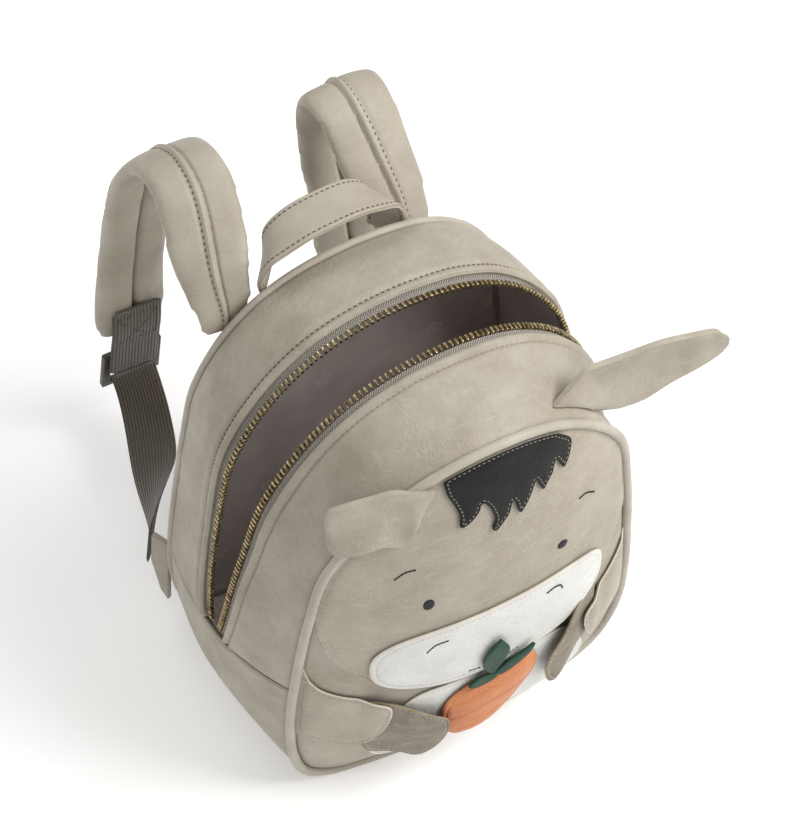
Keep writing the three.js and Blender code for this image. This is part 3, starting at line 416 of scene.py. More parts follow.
def leather(name):
    look = leatherLooks[name]
    base, dark, light = look["base"], look["dark"], look["light"]
    crease, streak = look.get("crease", 1.0), look.get("streak", 0.45)
    mat, tree, shader = newMaterial(name + "_leather", look.get("rough", 0.56), specular=look.get("specular", 0.42))
    place = objectCoords(tree)
    slanted = objectCoords(tree, (62, 110, 400), (0, math.radians(-24), 0))
    warp = noiseAt(tree, place, 70, 3)
    bent = makeNode(tree, "ShaderNodeVectorMath", [(0, warp.outputs["Color"])], operation="MULTIPLY_ADD")
    bent.inputs[1].default_value = (0.016, 0.016, 0.016)
    tree.links.new(place, bent.inputs[2])
    cloudy = noiseAt(tree, place, 38, 6, 0.6).outputs[0]
    speckle = noiseAt(tree, place, 520, 3, 0.6).outputs[0]
    lines = makeNode(tree, "ShaderNodeTexVoronoi", [("Vector", bent.outputs[0])], in2=300.0, feature="DISTANCE_TO_EDGE")
    crinkle = rangeOf(tree, lines.outputs[0], 0.0, 0.13, 1, 0)
    patchy = rangeOf(tree, noiseAt(tree, place, 42, 4).outputs[0], 0.36, 0.7)
    crinkle = sumOf(tree, crinkle, patchy, "MULTIPLY")
    pebbles = makeNode(tree, "ShaderNodeTexVoronoi", [("Vector", bent.outputs[0])], in2=620.0)
    fibres = rangeOf(tree, noiseAt(tree, slanted, 1.0, 6, 0.6, 1.6).outputs[0], 0.5, 0.7)
    colour = mixColours(tree, rangeOf(tree, cloudy, 0.34, 0.68), dark, base)
    colour = mixColours(tree, rangeOf(tree, fibres, 0, 1, 0, 0.4 * streak), colour, light)
    colour = mixColours(tree, rangeOf(tree, crinkle, 0, 1, 0, 0.24 * crease), colour, light)
    colour = mixColours(tree, rangeOf(tree, speckle, 0.42, 0.66, 0, 0.22), colour, dark)
    tree.links.new(colour, shader.inputs["Base Color"])
    worn = rangeOf(tree, cloudy, 0.3, 0.7, look.get("rough", 0.56) + 0.07, look.get("rough", 0.56) - 0.06)
    tree.links.new(worn, shader.inputs["Roughness"])
    height = sumOf(tree, sumOf(tree, pebbles.outputs[0], None, "MULTIPLY", 0.16), sumOf(tree, speckle, None, "MULTIPLY", 0.3))
    height = sumOf(tree, height, sumOf(tree, crinkle, None, "MULTIPLY", -0.55 * crease))
    height = sumOf(tree, height, sumOf(tree, fibres, None, "MULTIPLY", 0.5 * streak))
    bumpOf(tree, shader, height, 0.62, 0.00045)
    return mat


leathers = {name: leather(name) for name in leatherLooks}


def threadMaterial(name, colour, rough=0.6, sheen=0.2):
    mat, tree, shader = newMaterial(name, rough, specular=0.35, sheen=sheen)
    twist = noiseAt(tree, objectCoords(tree), 2600, 2).outputs[0]
    shade = tuple(c * 0.62 for c in colour)
    tree.links.new(mixColours(tree, rangeOf(tree, twist, 0.35, 0.65), shade, colour), shader.inputs["Base Color"])
    bumpOf(tree, shader, twist, 0.5, 0.0002)
    return mat


threads = {
    "taupe": threadMaterial("taupe_thread", (0.40, 0.35, 0.27)),
    "brown": threadMaterial("brown_thread", (0.085, 0.062, 0.042)),
    "pale": threadMaterial("pale_thread", (0.66, 0.62, 0.53)),
    "ink": threadMaterial("ink_thread", (0.012, 0.009, 0.01), 0.5, 0),
    "orange": threadMaterial("orange_thread", (0.8, 0.42, 0.2)),
    "plum": threadMaterial("plum_thread", (0.012, 0.008, 0.012), 0.6, 0),
}


def webbingMaterial():
    mat, tree, shader = newMaterial("ribbed_webbing", 0.82, specular=0.3, sheen=0.35)
    uv = makeNode(tree, "ShaderNodeUVMap", uv_map="UVMap")
    split = makeNode(tree, "ShaderNodeSeparateXYZ", [(0, uv.outputs[0])])
    ribs = sumOf(tree, sumOf(tree, split.outputs[0], None, "MULTIPLY", 2 * math.pi / 0.00165), None, "SINE", 0)
    picks = sumOf(tree, sumOf(tree, split.outputs[1], None, "MULTIPLY", 2 * math.pi / 0.0011), None, "SINE", 0)
    fuzz = noiseAt(tree, objectCoords(tree), 900, 3).outputs[0]
    height = sumOf(tree, rangeOf(tree, ribs, -1, 1), sumOf(tree, sumOf(tree, picks, ribs, "MULTIPLY"), None, "MULTIPLY", 0.18))
    height = sumOf(tree, height, sumOf(tree, fuzz, None, "MULTIPLY", 0.25))
    # The rib hollows get the darker colour: painted shade between the ribs, over the webbing's own dark brown.
    colour = mixColours(tree, rangeOf(tree, ribs, -1, 0.7), (0.032, 0.025, 0.018), (0.108, 0.088, 0.066))
    colour = mixColours(tree, rangeOf(tree, fuzz, 0.35, 0.7, 0, 0.4), colour, (0.15, 0.126, 0.098))
    tree.links.new(colour, shader.inputs["Base Color"])
    bumpOf(tree, shader, height, 0.8, 0.0005)
    return mat


def tapeMaterial():
    mat, tree, shader = newMaterial("zip_tape_weave", 0.85, specular=0.25, sheen=0.3)
    uv = makeNode(tree, "ShaderNodeUVMap", uv_map="UVMap")
    split = makeNode(tree, "ShaderNodeSeparateXYZ", [(0, uv.outputs[0])])
    fold = sumOf(tree, sumOf(tree, split.outputs[0], None, "PINGPONG", 0.0021), None, "MULTIPLY", 0.9)
    run = sumOf(tree, split.outputs[1], fold)
    twill = sumOf(tree, sumOf(tree, run, None, "MULTIPLY", 2 * math.pi / 0.0013), None, "SINE", 0)
    fuzz = noiseAt(tree, objectCoords(tree), 1200, 2).outputs[0]
    # The twill grooves get the darker colour: painted shade in the weave, over the tape's own grey-taupe.
    colour = mixColours(tree, rangeOf(tree, twill, -1, 1), (0.16, 0.14, 0.115), (0.44, 0.41, 0.355))
    colour = mixColours(tree, rangeOf(tree, fuzz, 0.4, 0.7, 0, 0.3), colour, (0.5, 0.47, 0.41))
    tree.links.new(colour, shader.inputs["Base Color"])
    bumpOf(tree, shader, twill, 0.8, 0.0004)
    return mat


def brassMaterial():
    mat, tree, shader = newMaterial("antique_brass", 0.34, metal=1.0)
    place = objectCoords(tree)
    tarnish = noiseAt(tree, place, 330, 4).outputs[0]
    tree.links.new(mixColours(tree, rangeOf(tree, tarnish, 0.36, 0.64), (0.17, 0.125, 0.065), (0.62, 0.5, 0.28)), shader.inputs["Base Color"])
    tree.links.new(rangeOf(tree, tarnish, 0.3, 0.7, 0.5, 0.24), shader.inputs["Roughness"])
    bumpOf(tree, shader, noiseAt(tree, place, 1500, 2).outputs[0], 0.25, 0.0002)
    return mat


def satinMaterial():
    mat, tree, shader = newMaterial("satin_lining", 0.42, specular=0.45, sheen=0.4)
    place = objectCoords(tree)
    scatter = makeNode(tree, "ShaderNodeTexVoronoi", [("Vector", place)], in2=34.0)
    tone = makeNode(tree, "ShaderNodeSeparateXYZ", [(0, scatter.outputs["Color"])])
    offset = makeNode(tree, "ShaderNodeVectorMath", [(0, place)], operation="SUBTRACT")
    tree.links.new(scatter.outputs["Position"], offset.inputs[1])
    spread = makeNode(tree, "ShaderNodeSeparateXYZ", [(0, offset.outputs[0])])
    angle = makeNode(tree, "ShaderNodeMath", [(0, spread.outputs[0]), (1, spread.outputs[2])], operation="ARCTAN2")
    lobes = sumOf(tree, sumOf(tree, angle.outputs[0], None, "MULTIPLY", 5), None, "COSINE", 0)
    far = makeNode(tree, "ShaderNodeMath", [(0, sumOf(tree, spread.outputs[0], None, "POWER", 2))], operation="ADD")
    tree.links.new(sumOf(tree, spread.outputs[2], None, "POWER", 2), far.inputs[1])
    radius = sumOf(tree, far.outputs[0], None, "POWER", 0.5)
    edge = sumOf(tree, sumOf(tree, lobes, None, "MULTIPLY", 0.0011), None, "ADD", 0.0034)
    gap = sumOf(tree, sumOf(tree, radius, edge, "SUBTRACT"), None, "ABSOLUTE", 0)
    outline = rangeOf(tree, gap, 0.0003, 0.0008, 1, 0)
    heart = rangeOf(tree, radius, 0.0007, 0.0011, 1, 0)
    motif = sumOf(tree, sumOf(tree, outline, heart, "MAXIMUM"), rangeOf(tree, tone.outputs[0], 0.3, 0.45), "MULTIPLY")
    cloudy = noiseAt(tree, place, 26, 3).outputs[0]
    colour = mixColours(tree, rangeOf(tree, cloudy, 0.35, 0.65), (0.43, 0.365, 0.34), (0.56, 0.485, 0.45))
    colour = mixColours(tree, sumOf(tree, motif, None, "MULTIPLY", 0.6), colour, (0.8, 0.74, 0.7))
    tree.links.new(colour, shader.inputs["Base Color"])
    weave = makeNode(tree, "ShaderNodeTexWave", [("Vector", place)], in1=900.0, in2=0.4)
    bumpOf(tree, shader, sumOf(tree, weave.outputs[1], sumOf(tree, cloudy, None, "MULTIPLY", 3)), 0.16, 0.0004)
    return mat


def plasticMaterial():
    mat, tree, shader = newMaterial("moulded_plastic", 0.45, specular=0.5)
    place = objectCoords(tree)
    grain = noiseAt(tree, place, 1400, 3).outputs[0]
    tree.links.new(mixColours(tree, rangeOf(tree, noiseAt(tree, place, 120, 3).outputs[0], 0.35, 0.65), (0.028, 0.022, 0.018), (0.05, 0.041, 0.034)), shader.inputs["Base Color"])
    tree.links.new(rangeOf(tree, grain, 0.3, 0.7, 0.38, 0.55), shader.inputs["Roughness"])
    bumpOf(tree, shader, grain, 0.3, 0.00015)
    return mat


webbingLook, tapeLook, brassLook, satinLook, plasticLook = (
    webbingMaterial(), tapeMaterial(), brassMaterial(), satinMaterial(), plasticMaterial())
print("materials made")


# Front and back panels
def panel(name, column, depthAt, thick, material, hint, wave, replaced):
    edgeInset = 2 * bag["piping"] + bag["seamGap"] - 0.4

    def place(around, out):
        edge = seamPoint(column, around, edgeInset, 0)
        x = edge[:, 0] * out
        z = bag["panelMiddle"] + (edge[:, 2] - bag["panelMiddle"]) * out
        y = depthAt(x, z)
        tuckIn = 1.1 * ease(out, 0.97, 1)
        if column == "front":
            return onFace(x, z, -tuckIn)
        return np.stack([x, y - tuckIn + wave * softFold(x, 0 * x, z, 30), z], -1)

    obj = shapedGrid(name, 200, 44, place, ringed=True)
    faceOut(obj, hint)
    walled(obj, thick, 0.4)
    return finishPiece(obj, material, replaced)


frontPanel = panel("face_ground", "front", faceDepth, bag["wall"], leathers["taupe"], (0, -1, 0), 0, ["front_panel"])
backPanel = panel("back_ground", "rear", backDepth, bag["backWall"], leathers["back"], (0, 1, 0), 0.7, ["back_panel"])
print("panels")

# Gusset strips, with a folded edge and a sewn channel beside the zip
zipper = {
    "middle": 3, "mouth": 27, "stopHeight": 150, "tapeShown": 5.5, "tapeThick": 0.8, "tapeTuck": 1.5,
    "toothWide": 3.2, "toothHigh": 2.6, "pitch": 2.9, "endGap": 2.7, "channel": 5.0,
}
seamTurn = {"front": turnAtHeight("front", bag["sideSeamFront"]), "rear": turnAtHeight("rear", bag["sideSeamRear"])}
seamAt = lambda across: seamTurn["rear"] + (seamTurn["front"] - seamTurn["rear"]) * across
zipStart = seamAt(0.5)
sliderTurn = 1 - turnAtHeight("rear", zipper["stopHeight"])
shutHalf = zipper["toothWide"] / 2 + bag["seamGap"] / 2
seamShift = (bag["seamGap"] / 2 + 0.1) / outlineTables["front"][2]
gussetSpan = bag["depth"] - 2 * (bag["piping"] + bag["seamGap"]) - 8


def mouthHalf(turn):
    part = np.clip((turn - zipStart) / (sliderTurn - zipStart), 0, 1)
    return shutHalf + zipper["mouth"] / 2 * np.sin(math.pi * part) ** 0.46


def acrossAt(turn, offset):
    reach = bag["piping"] + bag["seamGap"]
    x, z = outlineAt("front", turn)
    rear, front = rearPlane - reach, frontPlane(x, z) + reach
    return (rear - (zipper["middle"] + offset)) / (rear - front)


def stripTurn(part, across):
    start = seamAt(across) + seamShift
    return start + (1 - 2 * start) * part


def stripEdge(part, side):
    edge = np.full_like(part, 0.5)
    for _ in range(5):
        turn = stripTurn(part, edge)
        edge = acrossAt(turn, side * (mouthHalf(turn) + zipper["tapeShown"]))
    return edge


def gussetStrip(name, side, replaced):
    def place(part, out):  # out runs from the piping to the folded edge at the zip
        out = 1 - (1 - out) ** 1.5
        edge = stripEdge(part, side)
        across = out * edge if side > 0 else 1 + (edge - 1) * out
        away = (edge - across) * side * gussetSpan
        turn = stripTurn(part, across)
        lift = 0.8 * np.exp(-((away - 2.2) / 1.4) ** 2) - 0.9 * np.exp(-((away - zipper["channel"]) / 0.8) ** 2)
        lift = lift + 0.45 * np.exp(-((away - 8) / 2) ** 2) - 1.0 * (1 - ease(away, 0, 1.1))
        ends = np.minimum(part, 1 - part) * outlineTables["rear"][2]
        lift = lift - 0.8 * (1 - ease(ends, 0, 1.6)) - 0.9 * (1 - ease(out * 50, 0, 2.2))
        p = gussetPoint(turn, across)
        lift = lift + 0.75 * softFold(p[:, 0], p[:, 1], p[:, 2], 34) + 0.22 * softFold(p[:, 0], p[:, 1], p[:, 2], 9)
        return gussetPoint(turn, across, lift)

    obj = shapedGrid(name, 300, 64, place)
    faceOut(obj)
    walled(obj, bag["wall"], 0.4)
    return finishPiece(obj, leathers["taupe"], replaced)


gussetStrip("gusset_behind_zip", 1, ["gusset_rear"])
gussetStrip("gusset_before_zip", -1, ["gusset_front"])


def basePlace(part, across):
    end = seamAt(across) - seamShift
    turn = -end + 2 * end * part
    p = gussetPoint(turn, across)
    soft = ease(p[:, 2], 2, 30)
    ends = np.minimum(part, 1 - part) * 330
    lift = soft * (0.7 * softFold(p[:, 0], p[:, 1], p[:, 2], 34) + 0.2 * softFold(p[:, 0], p[:, 1], p[:, 2], 9))
    lift = lift + 0.5 * np.exp(-((ends - 2.2) / 1.3) ** 2) - 0.7 * (1 - ease(ends, 0, 1.4))
    lift = lift - soft * 0.9 * (1 - ease(np.minimum(across, 1 - across) * 120, 0, 2.2))
    return gussetPoint(turn, across, lift)


baseGusset = shapedGrid("base_and_sides", 220, 50, basePlace)
faceOut(baseGusset)
walled(baseGusset, bag["wall"], 0.4)
finishPiece(baseGusset, leathers["taupe"], ["base_gusset"])


# Piping beads
def piping(name, column, radius, replaced):
    half = 0.6 / outlineTables[column][2]

    def place(around, along):
        turn = half + (1 - 2 * half) * along
        middle = seamPoint(column, turn, bag["piping"], 0)
        ox, oz = outwardAt(column, turn)
        angle = 2 * math.pi * around
        grip = radius * (1 + 0.035 * softFold(middle[:, 0], middle[:, 1], middle[:, 2], 7))
        grip = np.minimum(grip, bag["piping"] + middle[:, 2] * 0.05 + 0.0)
        out, over = np.cos(angle) * grip, np.sin(angle) * grip
        return middle + np.stack([ox * out, over, oz * out], -1)

    obj = shapedGrid(name, 16, 420, place, ringed=True)
    faceOut(obj)
    return finishPiece(obj, leathers["piping"], replaced, angle=60)


piping("front_piping_bead", "front", 2.55, ["piping_front"])
piping("rear_piping_bead", "rear", 2.2, ["piping_back"])
print("gusset and piping")

# Topstitching beside the zip
stitchPart = np.linspace(0.004, 0.996, 700)


def besideZip(side, away, lift):
    edge = stripEdge(stitchPart, side)
    across = edge - side * away / gussetSpan
    turn = stripTurn(stitchPart, across)
    p = gussetPoint(turn, across)
    wave = 0.75 * softFold(p[:, 0], p[:, 1], p[:, 2], 34) + 0.22 * softFold(p[:, 0], p[:, 1], p[:, 2], 9)
    return gussetPoint(turn, across, lift + wave)


for name, side, thread in (("topstitch_behind_zip", 1, "brown"), ("topstitch_before_zip", -1, "taupe")):
    stitches(name, besideZip(side, zipper["channel"], -0.6), besideZip(side, zipper["channel"], 0.4), threads[thread], 3.0, 2.2, 0.34)


# Zip tapes and single teeth
def alongZip(turn, offset, side, lift):
    return gussetPoint(turn, acrossAt(turn, side * offset), lift)


tapeTop = -bag["wall"] - bag["seamGap"] - 0.15
toothMiddle = tapeTop + 0.3
zipFirst = zipStart + zipper["endGap"] / outlineTables["front"][2]
zipLength = (1 - 2 * zipFirst) * outlineTables["rear"][2]


def scaleUV(obj, across, along):
    layer = obj.data.uv_layers.active
    values = np.zeros(len(obj.data.loops) * 2)
    layer.data.foreach_get("uv", values)
    values = values.reshape(-1, 2) * [across * mm, along * mm]
    layer.data.foreach_set("uv", values.ravel())
    layer.name = "UVMap"


clearPick()
bpy.ops.mesh.primitive_cube_add(size=1)
toothObject = bpy.context.object
toothObject.scale = (1.5, 3.4, 2.5)
bpy.ops.object.transform_apply(location=False, rotation=False, scale=True)
inEdit(toothObject, lambda: bpy.ops.mesh.bevel(offset=0.34, segments=2, affect="EDGES"))
for v in toothObject.data.vertices:  # a narrow head towards the other row, legs gripping the tape
    if v.co.y > 0.9:
        v.co.x *= 0.72
        v.co.z *= 0.8
    if v.co.y < -0.9:
        v.co.x *= 1.08
toothSeed = seedMesh(toothObject)

for name, side in (("rear", 1), ("front", -1)):
    tapeFrom, tapeTo = 1.9, zipper["tapeShown"] + zipper["tapeTuck"]

    def tapePlace(across, along, side=side):
        turn = zipFirst + (1 - 2 * zipFirst) * along
        offset = mouthHalf(turn) + tapeFrom + (tapeTo - tapeFrom) * across
        return alongZip(turn, offset, side, tapeTop + 0.25 * np.exp(-((across - 0.05) / 0.08) ** 2))

    tape = shapedGrid("zip_tape_" + name + "_cloth", 10, 300, tapePlace)
    scaleUV(tape, tapeTo - tapeFrom, zipLength)
    faceOut(tape)
    walled(tape, 0.7, 0)
    finishPiece(tape, tapeLook, ["zip_tape_" + name])

    turns = np.linspace(zipFirst, 1 - zipFirst, 900)
    row = alongZip(turns, mouthHalf(turns), side, toothMiddle)
    rise = alongZip(turns, mouthHalf(turns), side, toothMiddle + 1)
    spots, along, up = evenly(row, rise, zipper["pitch"], 0.25 if side > 0 else 0.75)
    copiesOf("zip_teeth_" + name + "_row", toothSeed, spots, along * side, up, brassLook)
    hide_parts("zip_teeth_" + name)
print("zip")


# Flat leather pieces on the face
layer = {"first": 0.6, "second": 2.4, "third": 4.2}


def awayFrom(points, line):
    a, b = line[:-1], line[1:]
    span = b - a
    best = np.full(len(points), 1e9)
    for start in range(0, len(points), 3000):
        p = points[start:start + 3000, None]
        t = np.clip(((p - a) * span).sum(-1) / np.maximum((span ** 2).sum(-1), 1e-9), 0, 1)
        best[start:start + 3000] = np.linalg.norm(p - (a + span * t[..., None]), axis=-1).min(1)
    return best


def insideOf(points, line):
    x, z = points[:, 0][:, None], points[:, 1][:, None]
    (ax, az), (bx, bz) = line[:-1].T, line[1:].T
    crosses = ((az > z) != (bz > z)) & (x < (bx - ax) * (z - az) / np.where(bz == az, 1e-9, bz - az) + ax)
    return crosses.sum(1) % 2 == 1


def evenLine(line, pitch):
    run = np.concatenate([[0], np.cumsum(np.linalg.norm(np.diff(line, axis=0), axis=1))])
    count = int(run[-1] / pitch)
    at = np.arange(count) * run[-1] / count
    return np.stack([np.interp(at, run, line[:, 0]), np.interp(at, run, line[:, 1])], -1)


def insetLine(line, inset):  # the same closed line, moved inwards, without the parts that would cross
    loop = evenLine(line, 0.5)
    ahead, behind = np.roll(loop, -1, 0), np.roll(loop, 1, 0)
    along = (ahead - behind) / np.linalg.norm(ahead - behind, axis=1, keepdims=True)
    area = (loop[:, 0] * ahead[:, 1] - ahead[:, 0] * loop[:, 1]).sum()
    moved = loop + np.stack([-along[:, 1], along[:, 0]], -1) * inset * np.sign(area)
    closed = np.vstack([loop, loop[:1]])
    kept = moved[(awayFrom(moved, closed) > inset * 0.93) & insideOf(moved, closed)]
    return np.vstack([kept, kept[:1]])


def flatPiece(name, line, lift, look, replaced, thick=1.2, puff=0, inset=0, thread=None, edge=None,
              cell=1.7, dip=0.35, shape=None, pitch=2.9, rimWide=0.5):
    line = np.asarray(line)
    rings = [evenLine(line, 0.9)] + [evenLine(insetLine(line, d), 1.1) for d in (0.35, 0.85)]
    if inset:
        rings += [evenLine(insetLine(line, inset + d), 1.1) for d in (-0.6, 0, 0.6)]
    reach = 0.85 + 0.6 + (inset if inset else 0)
    low, high = line.min(0), line.max(0)
    xs, zs = np.meshgrid(np.arange(low[0], high[0], cell), np.arange(low[1], high[1], cell * 0.866))
    xs = xs + (np.arange(len(xs)) % 2)[:, None] * cell / 2
    grid = np.stack([xs.ravel(), zs.ravel()], -1)
    closed = np.vstack([rings[0], rings[0][:1]])
    grid = grid[insideOf(grid, closed)]
    grid = grid[awayFrom(grid, closed) > reach]
    points = np.vstack(rings + [grid])
    count = len(rings[0])
    loop = [(i, (i + 1) % count) for i in range(count)]
    made = delaunay_2d_cdt([Vector(p) for p in points], loop, [], 1, 1e-5)
    flat = np.array([tuple(p) for p in made[0]])
    away = awayFrom(flat, closed)
    top = lift + thick - 0.45 * (1 - ease(away, 0, 0.8)) + puff * np.sqrt(ease(away, 0, 16))
    if inset:
        top = top - dip * np.exp(-((away - inset) / 0.55) ** 2) + 0.12 * np.exp(-((away - inset / 2) / 0.8) ** 2)
    if shape:
        top = top + shape(flat[:, 0], flat[:, 1])
    spots = onFace(flat[:, 0], flat[:, 1], top) * mm
    mesh = bpy.data.meshes.new(name)
    mesh.from_pydata(spots.tolist(), [], [list(f) for f in made[2]])
    obj = bpy.data.objects.new(name, mesh)
    scene.collection.objects.link(obj)
    faceOut(obj, (0, -1, 0))
    rims = np.array([away[list(f.vertices)].mean() < rimWide for f in obj.data.polygons])
    addModifier(obj, "SOLIDIFY", thickness=thick * 0.9 * mm, offset=-1, material_offset_rim=1 if edge else 0)
    finishPiece(obj, look, replaced, edge)
    if edge:
        for f, rim in zip(obj.data.polygons, rims):
            if rim:
                f.material_index = 1
    if thread:
        sewn = insetLine(line, inset)
        away = np.full(len(sewn), inset)
        rise = lift + thick - dip * 0.75
        if shape:
            rise = rise + shape(sewn[:, 0], sewn[:, 1])
        rise = rise + puff * np.sqrt(ease(away, 0, 16))
        stitches(name + "_stitches", onFace(sewn[:, 0], sewn[:, 1], rise), onFace(sewn[:, 0], sewn[:, 1], rise + 1),
                 thread, pitch, pitch * 0.7, 0.26)
    return obj


def pill(width, height, x, z, power):
    angle = np.linspace(0, 2 * math.pi, 181)
    c, s = np.cos(angle), np.sin(angle)
    return np.stack([x + width / 2 * np.sign(c) * np.abs(c) ** (2 / power),
                     z + height / 2 * np.sign(s) * np.abs(s) ** (2 / power)], -1)


def fromRows(rows, x, reach, z, tall, side=1):  # share along, lower and upper edge
    full = [(a, high) for a, low, high in rows] + [(a, low) for a, low, high in rows[::-1]]
    return splineThrough([(x + side * a * reach, z + b * tall) for a, b in full], closed=True, perSpan=14)


def panelEdge(turnFrom, turnTo, inset, count=200):
    return seamPoint("front", np.linspace(turnFrom, turnTo, count), inset, 0)[:, [0, 2]]


face = {
    "headLow": 99, "headHigh": 160, "headReach": 91.9, "muzzleWide": 129, "muzzleHigh": 53, "muzzleUp": 121.5,
    "bellyWide": 104, "bellyHigh": 74, "bellyTop": 91, "armOut": 90, "armLong": 39, "armHigh": 66, "armUp": 47,
    "hoofOut": 56.6, "hoofLong": 36, "hoofHigh": 74, "hoofUp": 14,
    "carrotWide": 55, "carrotHigh": 62, "carrotUp": 23, "carrotX": -1, "leafLong": 31, "leafWide": 11,
}
headRows = [(-0.95, 1), (-0.925, 0.75), (-0.87, 0.47), (-0.76, 0.26), (-0.64, 0.1), (-0.5, 0.04), (-0.25, 0), (0, 0)]
headRows = headRows + [(-at, low) for at, low in headRows[-2::-1]]
headTurn = turnAtHeight("front", face["headHigh"])
headTop = panelEdge(headTurn, 1 - headTurn, 4.0)
headLine = splineThrough([(at * face["headReach"], face["headLow"] + low * (face["headHigh"] - face["headLow"]))
                          for at, low in headRows[1:-1]], perSpan=16)
headLine = np.vstack([headTop, headLine[::-1], headTop[:1]])
flatPiece("head", headLine, layer["first"], leathers["face"], ["head_panel"], edge=leathers["cream"],
          inset=2.2, cell=2.3, rimWide=0.35, shape=lambda x, z: -1.1 * ease(shareOfPanel("front", x, z), 0.965, 1))
headSewn = insetLine(headLine, 2.2)
headSewn = headSewn[(headSewn[:, 1] < 158) & (np.abs(headSewn[:, 0]) < 86)]
headSewn = headSewn[np.argsort(headSewn[:, 0])]
stitches("head_stitches", onFace(headSewn[:, 0], headSewn[:, 1], 1.5), onFace(headSewn[:, 0], headSewn[:, 1], 2.5),
         threads["pale"], 2.9, 2, 0.26)
flatPiece("muzzle_patch", pill(face["muzzleWide"], face["muzzleHigh"], 0, face["muzzleUp"], 2.7), layer["second"],
          leathers["pale"], ["muzzle"], puff=0.8, inset=3, thread=threads["pale"], edge=leathers["cream"], rimWide=0.7)
bellyHalf = [(0, 91), (25, 91), (40, 88), (50, 78), (57, 60), (61, 46), (59, 34), (50, 25.5), (38, 21), (18, 18.5), (0, 18)]
bellyLine = splineThrough([(-x, z) for x, z in bellyHalf[:-1]] + [(x, z) for x, z in bellyHalf[:0:-1]], closed=True, perSpan=12)
flatPiece("belly_patch", bellyLine, layer["first"], leathers["pale"], ["belly"], inset=2.6, thread=threads["pale"],
          edge=leathers["cream"])

tuftEdge = [  # the left side, then the locks with their hooked tips, then the right side
    (-26.3, 239), (-23.4, 231.4), (-21.8, 225.5), (-21.6, 220.9), (-22.1, 218.6), (-21, 216.6), (-17.6, 217.6), (-14.4, 220.1),
    (-11.6, 223.6), (-10.7, 226.6), (-9.6, 227.3), (-6.8, 223.7), (-5, 218.7), (-4.1, 213.9), (-5.1, 210.3), (-5.9, 208.5),
    (-3.8, 206), (0.1, 209.4), (3.5, 213.6), (5.2, 218.4), (6.2, 220.3), (7.4, 217.4), (8, 213.6), (9.9, 210.1), (13.1, 213.5),
    (16.2, 218.4), (18, 222.3), (19.3, 224.9), (20.9, 220.6), (23.2, 216.4), (25.9, 219.6), (29, 223.5), (30.4, 228),
    (31.2, 229.7), (33.2, 226), (35.7, 221.4), (38.6, 224.6), (40.6, 229.7), (41.3, 234.9),
]
tuftTurn = [0.5 - 28 / outlineTables["front"][2], 0.5 + 38 / outlineTables["front"][2]]
tuftTop = panelEdge(tuftTurn[0], tuftTurn[1], 4.3, 60)
tuftLine = splineThrough([tuftTop[0]] + tuftEdge + [tuftTop[-1]], perSpan=8)
tuftLine = np.vstack([tuftLine, tuftTop[::-1]])
flatPiece("tuft", tuftLine, layer["second"], leathers["black"], ["hair_tuft"], puff=0.3, inset=1.7,
          thread=threads["taupe"], cell=1.2, dip=0.25, pitch=2.6)


def threadLine(name, points, lift, wide=0.5, material="ink", pitch=1.8):
    line = splineThrough(points, perSpan=12)
    stitches(name, onFace(line[:, 0], line[:, 1], lift), onFace(line[:, 0], line[:, 1], lift + 1), threads[material],
             pitch, pitch * 1.7, wide)


onHead, onMuzzle = layer["first"] + 1.2, layer["second"] + 1.2 + 0.75
threadLine("brow_left", [(-53.7, 190.6), (-48.6, 194.4), (-43.4, 195)], onHead, 0.62)
threadLine("brow_right", [(46.1, 189.6), (51, 189), (56.7, 184.4)], onHead, 0.62)
threadLine("nostril_left", [(-38.8, 130.2), (-36.8, 133), (-34.5, 135.2), (-28.5, 136.5)], onMuzzle, 0.5)
threadLine("nostril_right", [(25, 137.7), (30, 138.2), (33.5, 136.4), (35, 132.4)], onMuzzle, 0.5)
threadLine("mouth_left", [(-16.8, 101.6), (-10.2, 100.6)], onMuzzle - 0.35, 0.5)
threadLine("mouth_right", [(5.4, 101.4), (11, 103.2)], onMuzzle - 0.35, 0.5)

for name, x, z, wide, tall, tilt in (("left", -37.9, 167, 5.8, 8, 0), ("right", 35.5, 165.5, 7, 5.8, -38)):
    turn = math.radians(tilt)
    spot = pill(wide, tall, 0, 0, 2.2) @ np.array([[math.cos(turn), math.sin(turn)], [-math.sin(turn), math.cos(turn)]])
    flatPiece("eye_" + name + "_satin", spot + [x, z], onHead - 0.3, threads["plum"], ["eye_" + name], thick=0.7,
              cell=0.6, puff=0.15)
print("head and muzzle")

# Arms run under the piping at their outer end, and the hooves stand off the face towards their tips
armTop = [(-92, 118), (-89, 109), (-84, 101.5), (-76, 96.5), (-67, 93.5), (-58.5, 91), (-54.3, 87.4), (-53.6, 80.5)]
armLow = [(-56.2, 69.8), (-61.4, 59.6), (-66, 52.4), (-75, 52.2), (-84, 55.5), (-91, 60)]
hoofLines = {
    "left": [(-64, 91), (-53.4, 87.3), (-41.7, 81.2), (-31.6, 73.8), (-27.2, 69), (-25.1, 60.6), (-25.5, 44), (-29.6, 32.4),
             (-35.6, 27), (-47.8, 35), (-64, 46)],
    "right": [(60, 104.5), (53.3, 104.5), (44.7, 102), (36.5, 92.7), (30, 82.5), (27.3, 72.9), (28.7, 62.9), (33.2, 52), (37.6, 48.6),
              (43, 52.5), (50, 60.5), (60, 70)],
}


def underPiping(x, z):  # flat pieces sink towards the seam that holds them
    return -1.5 * ease(shareOfPanel("front", x, z), 0.955, 1)


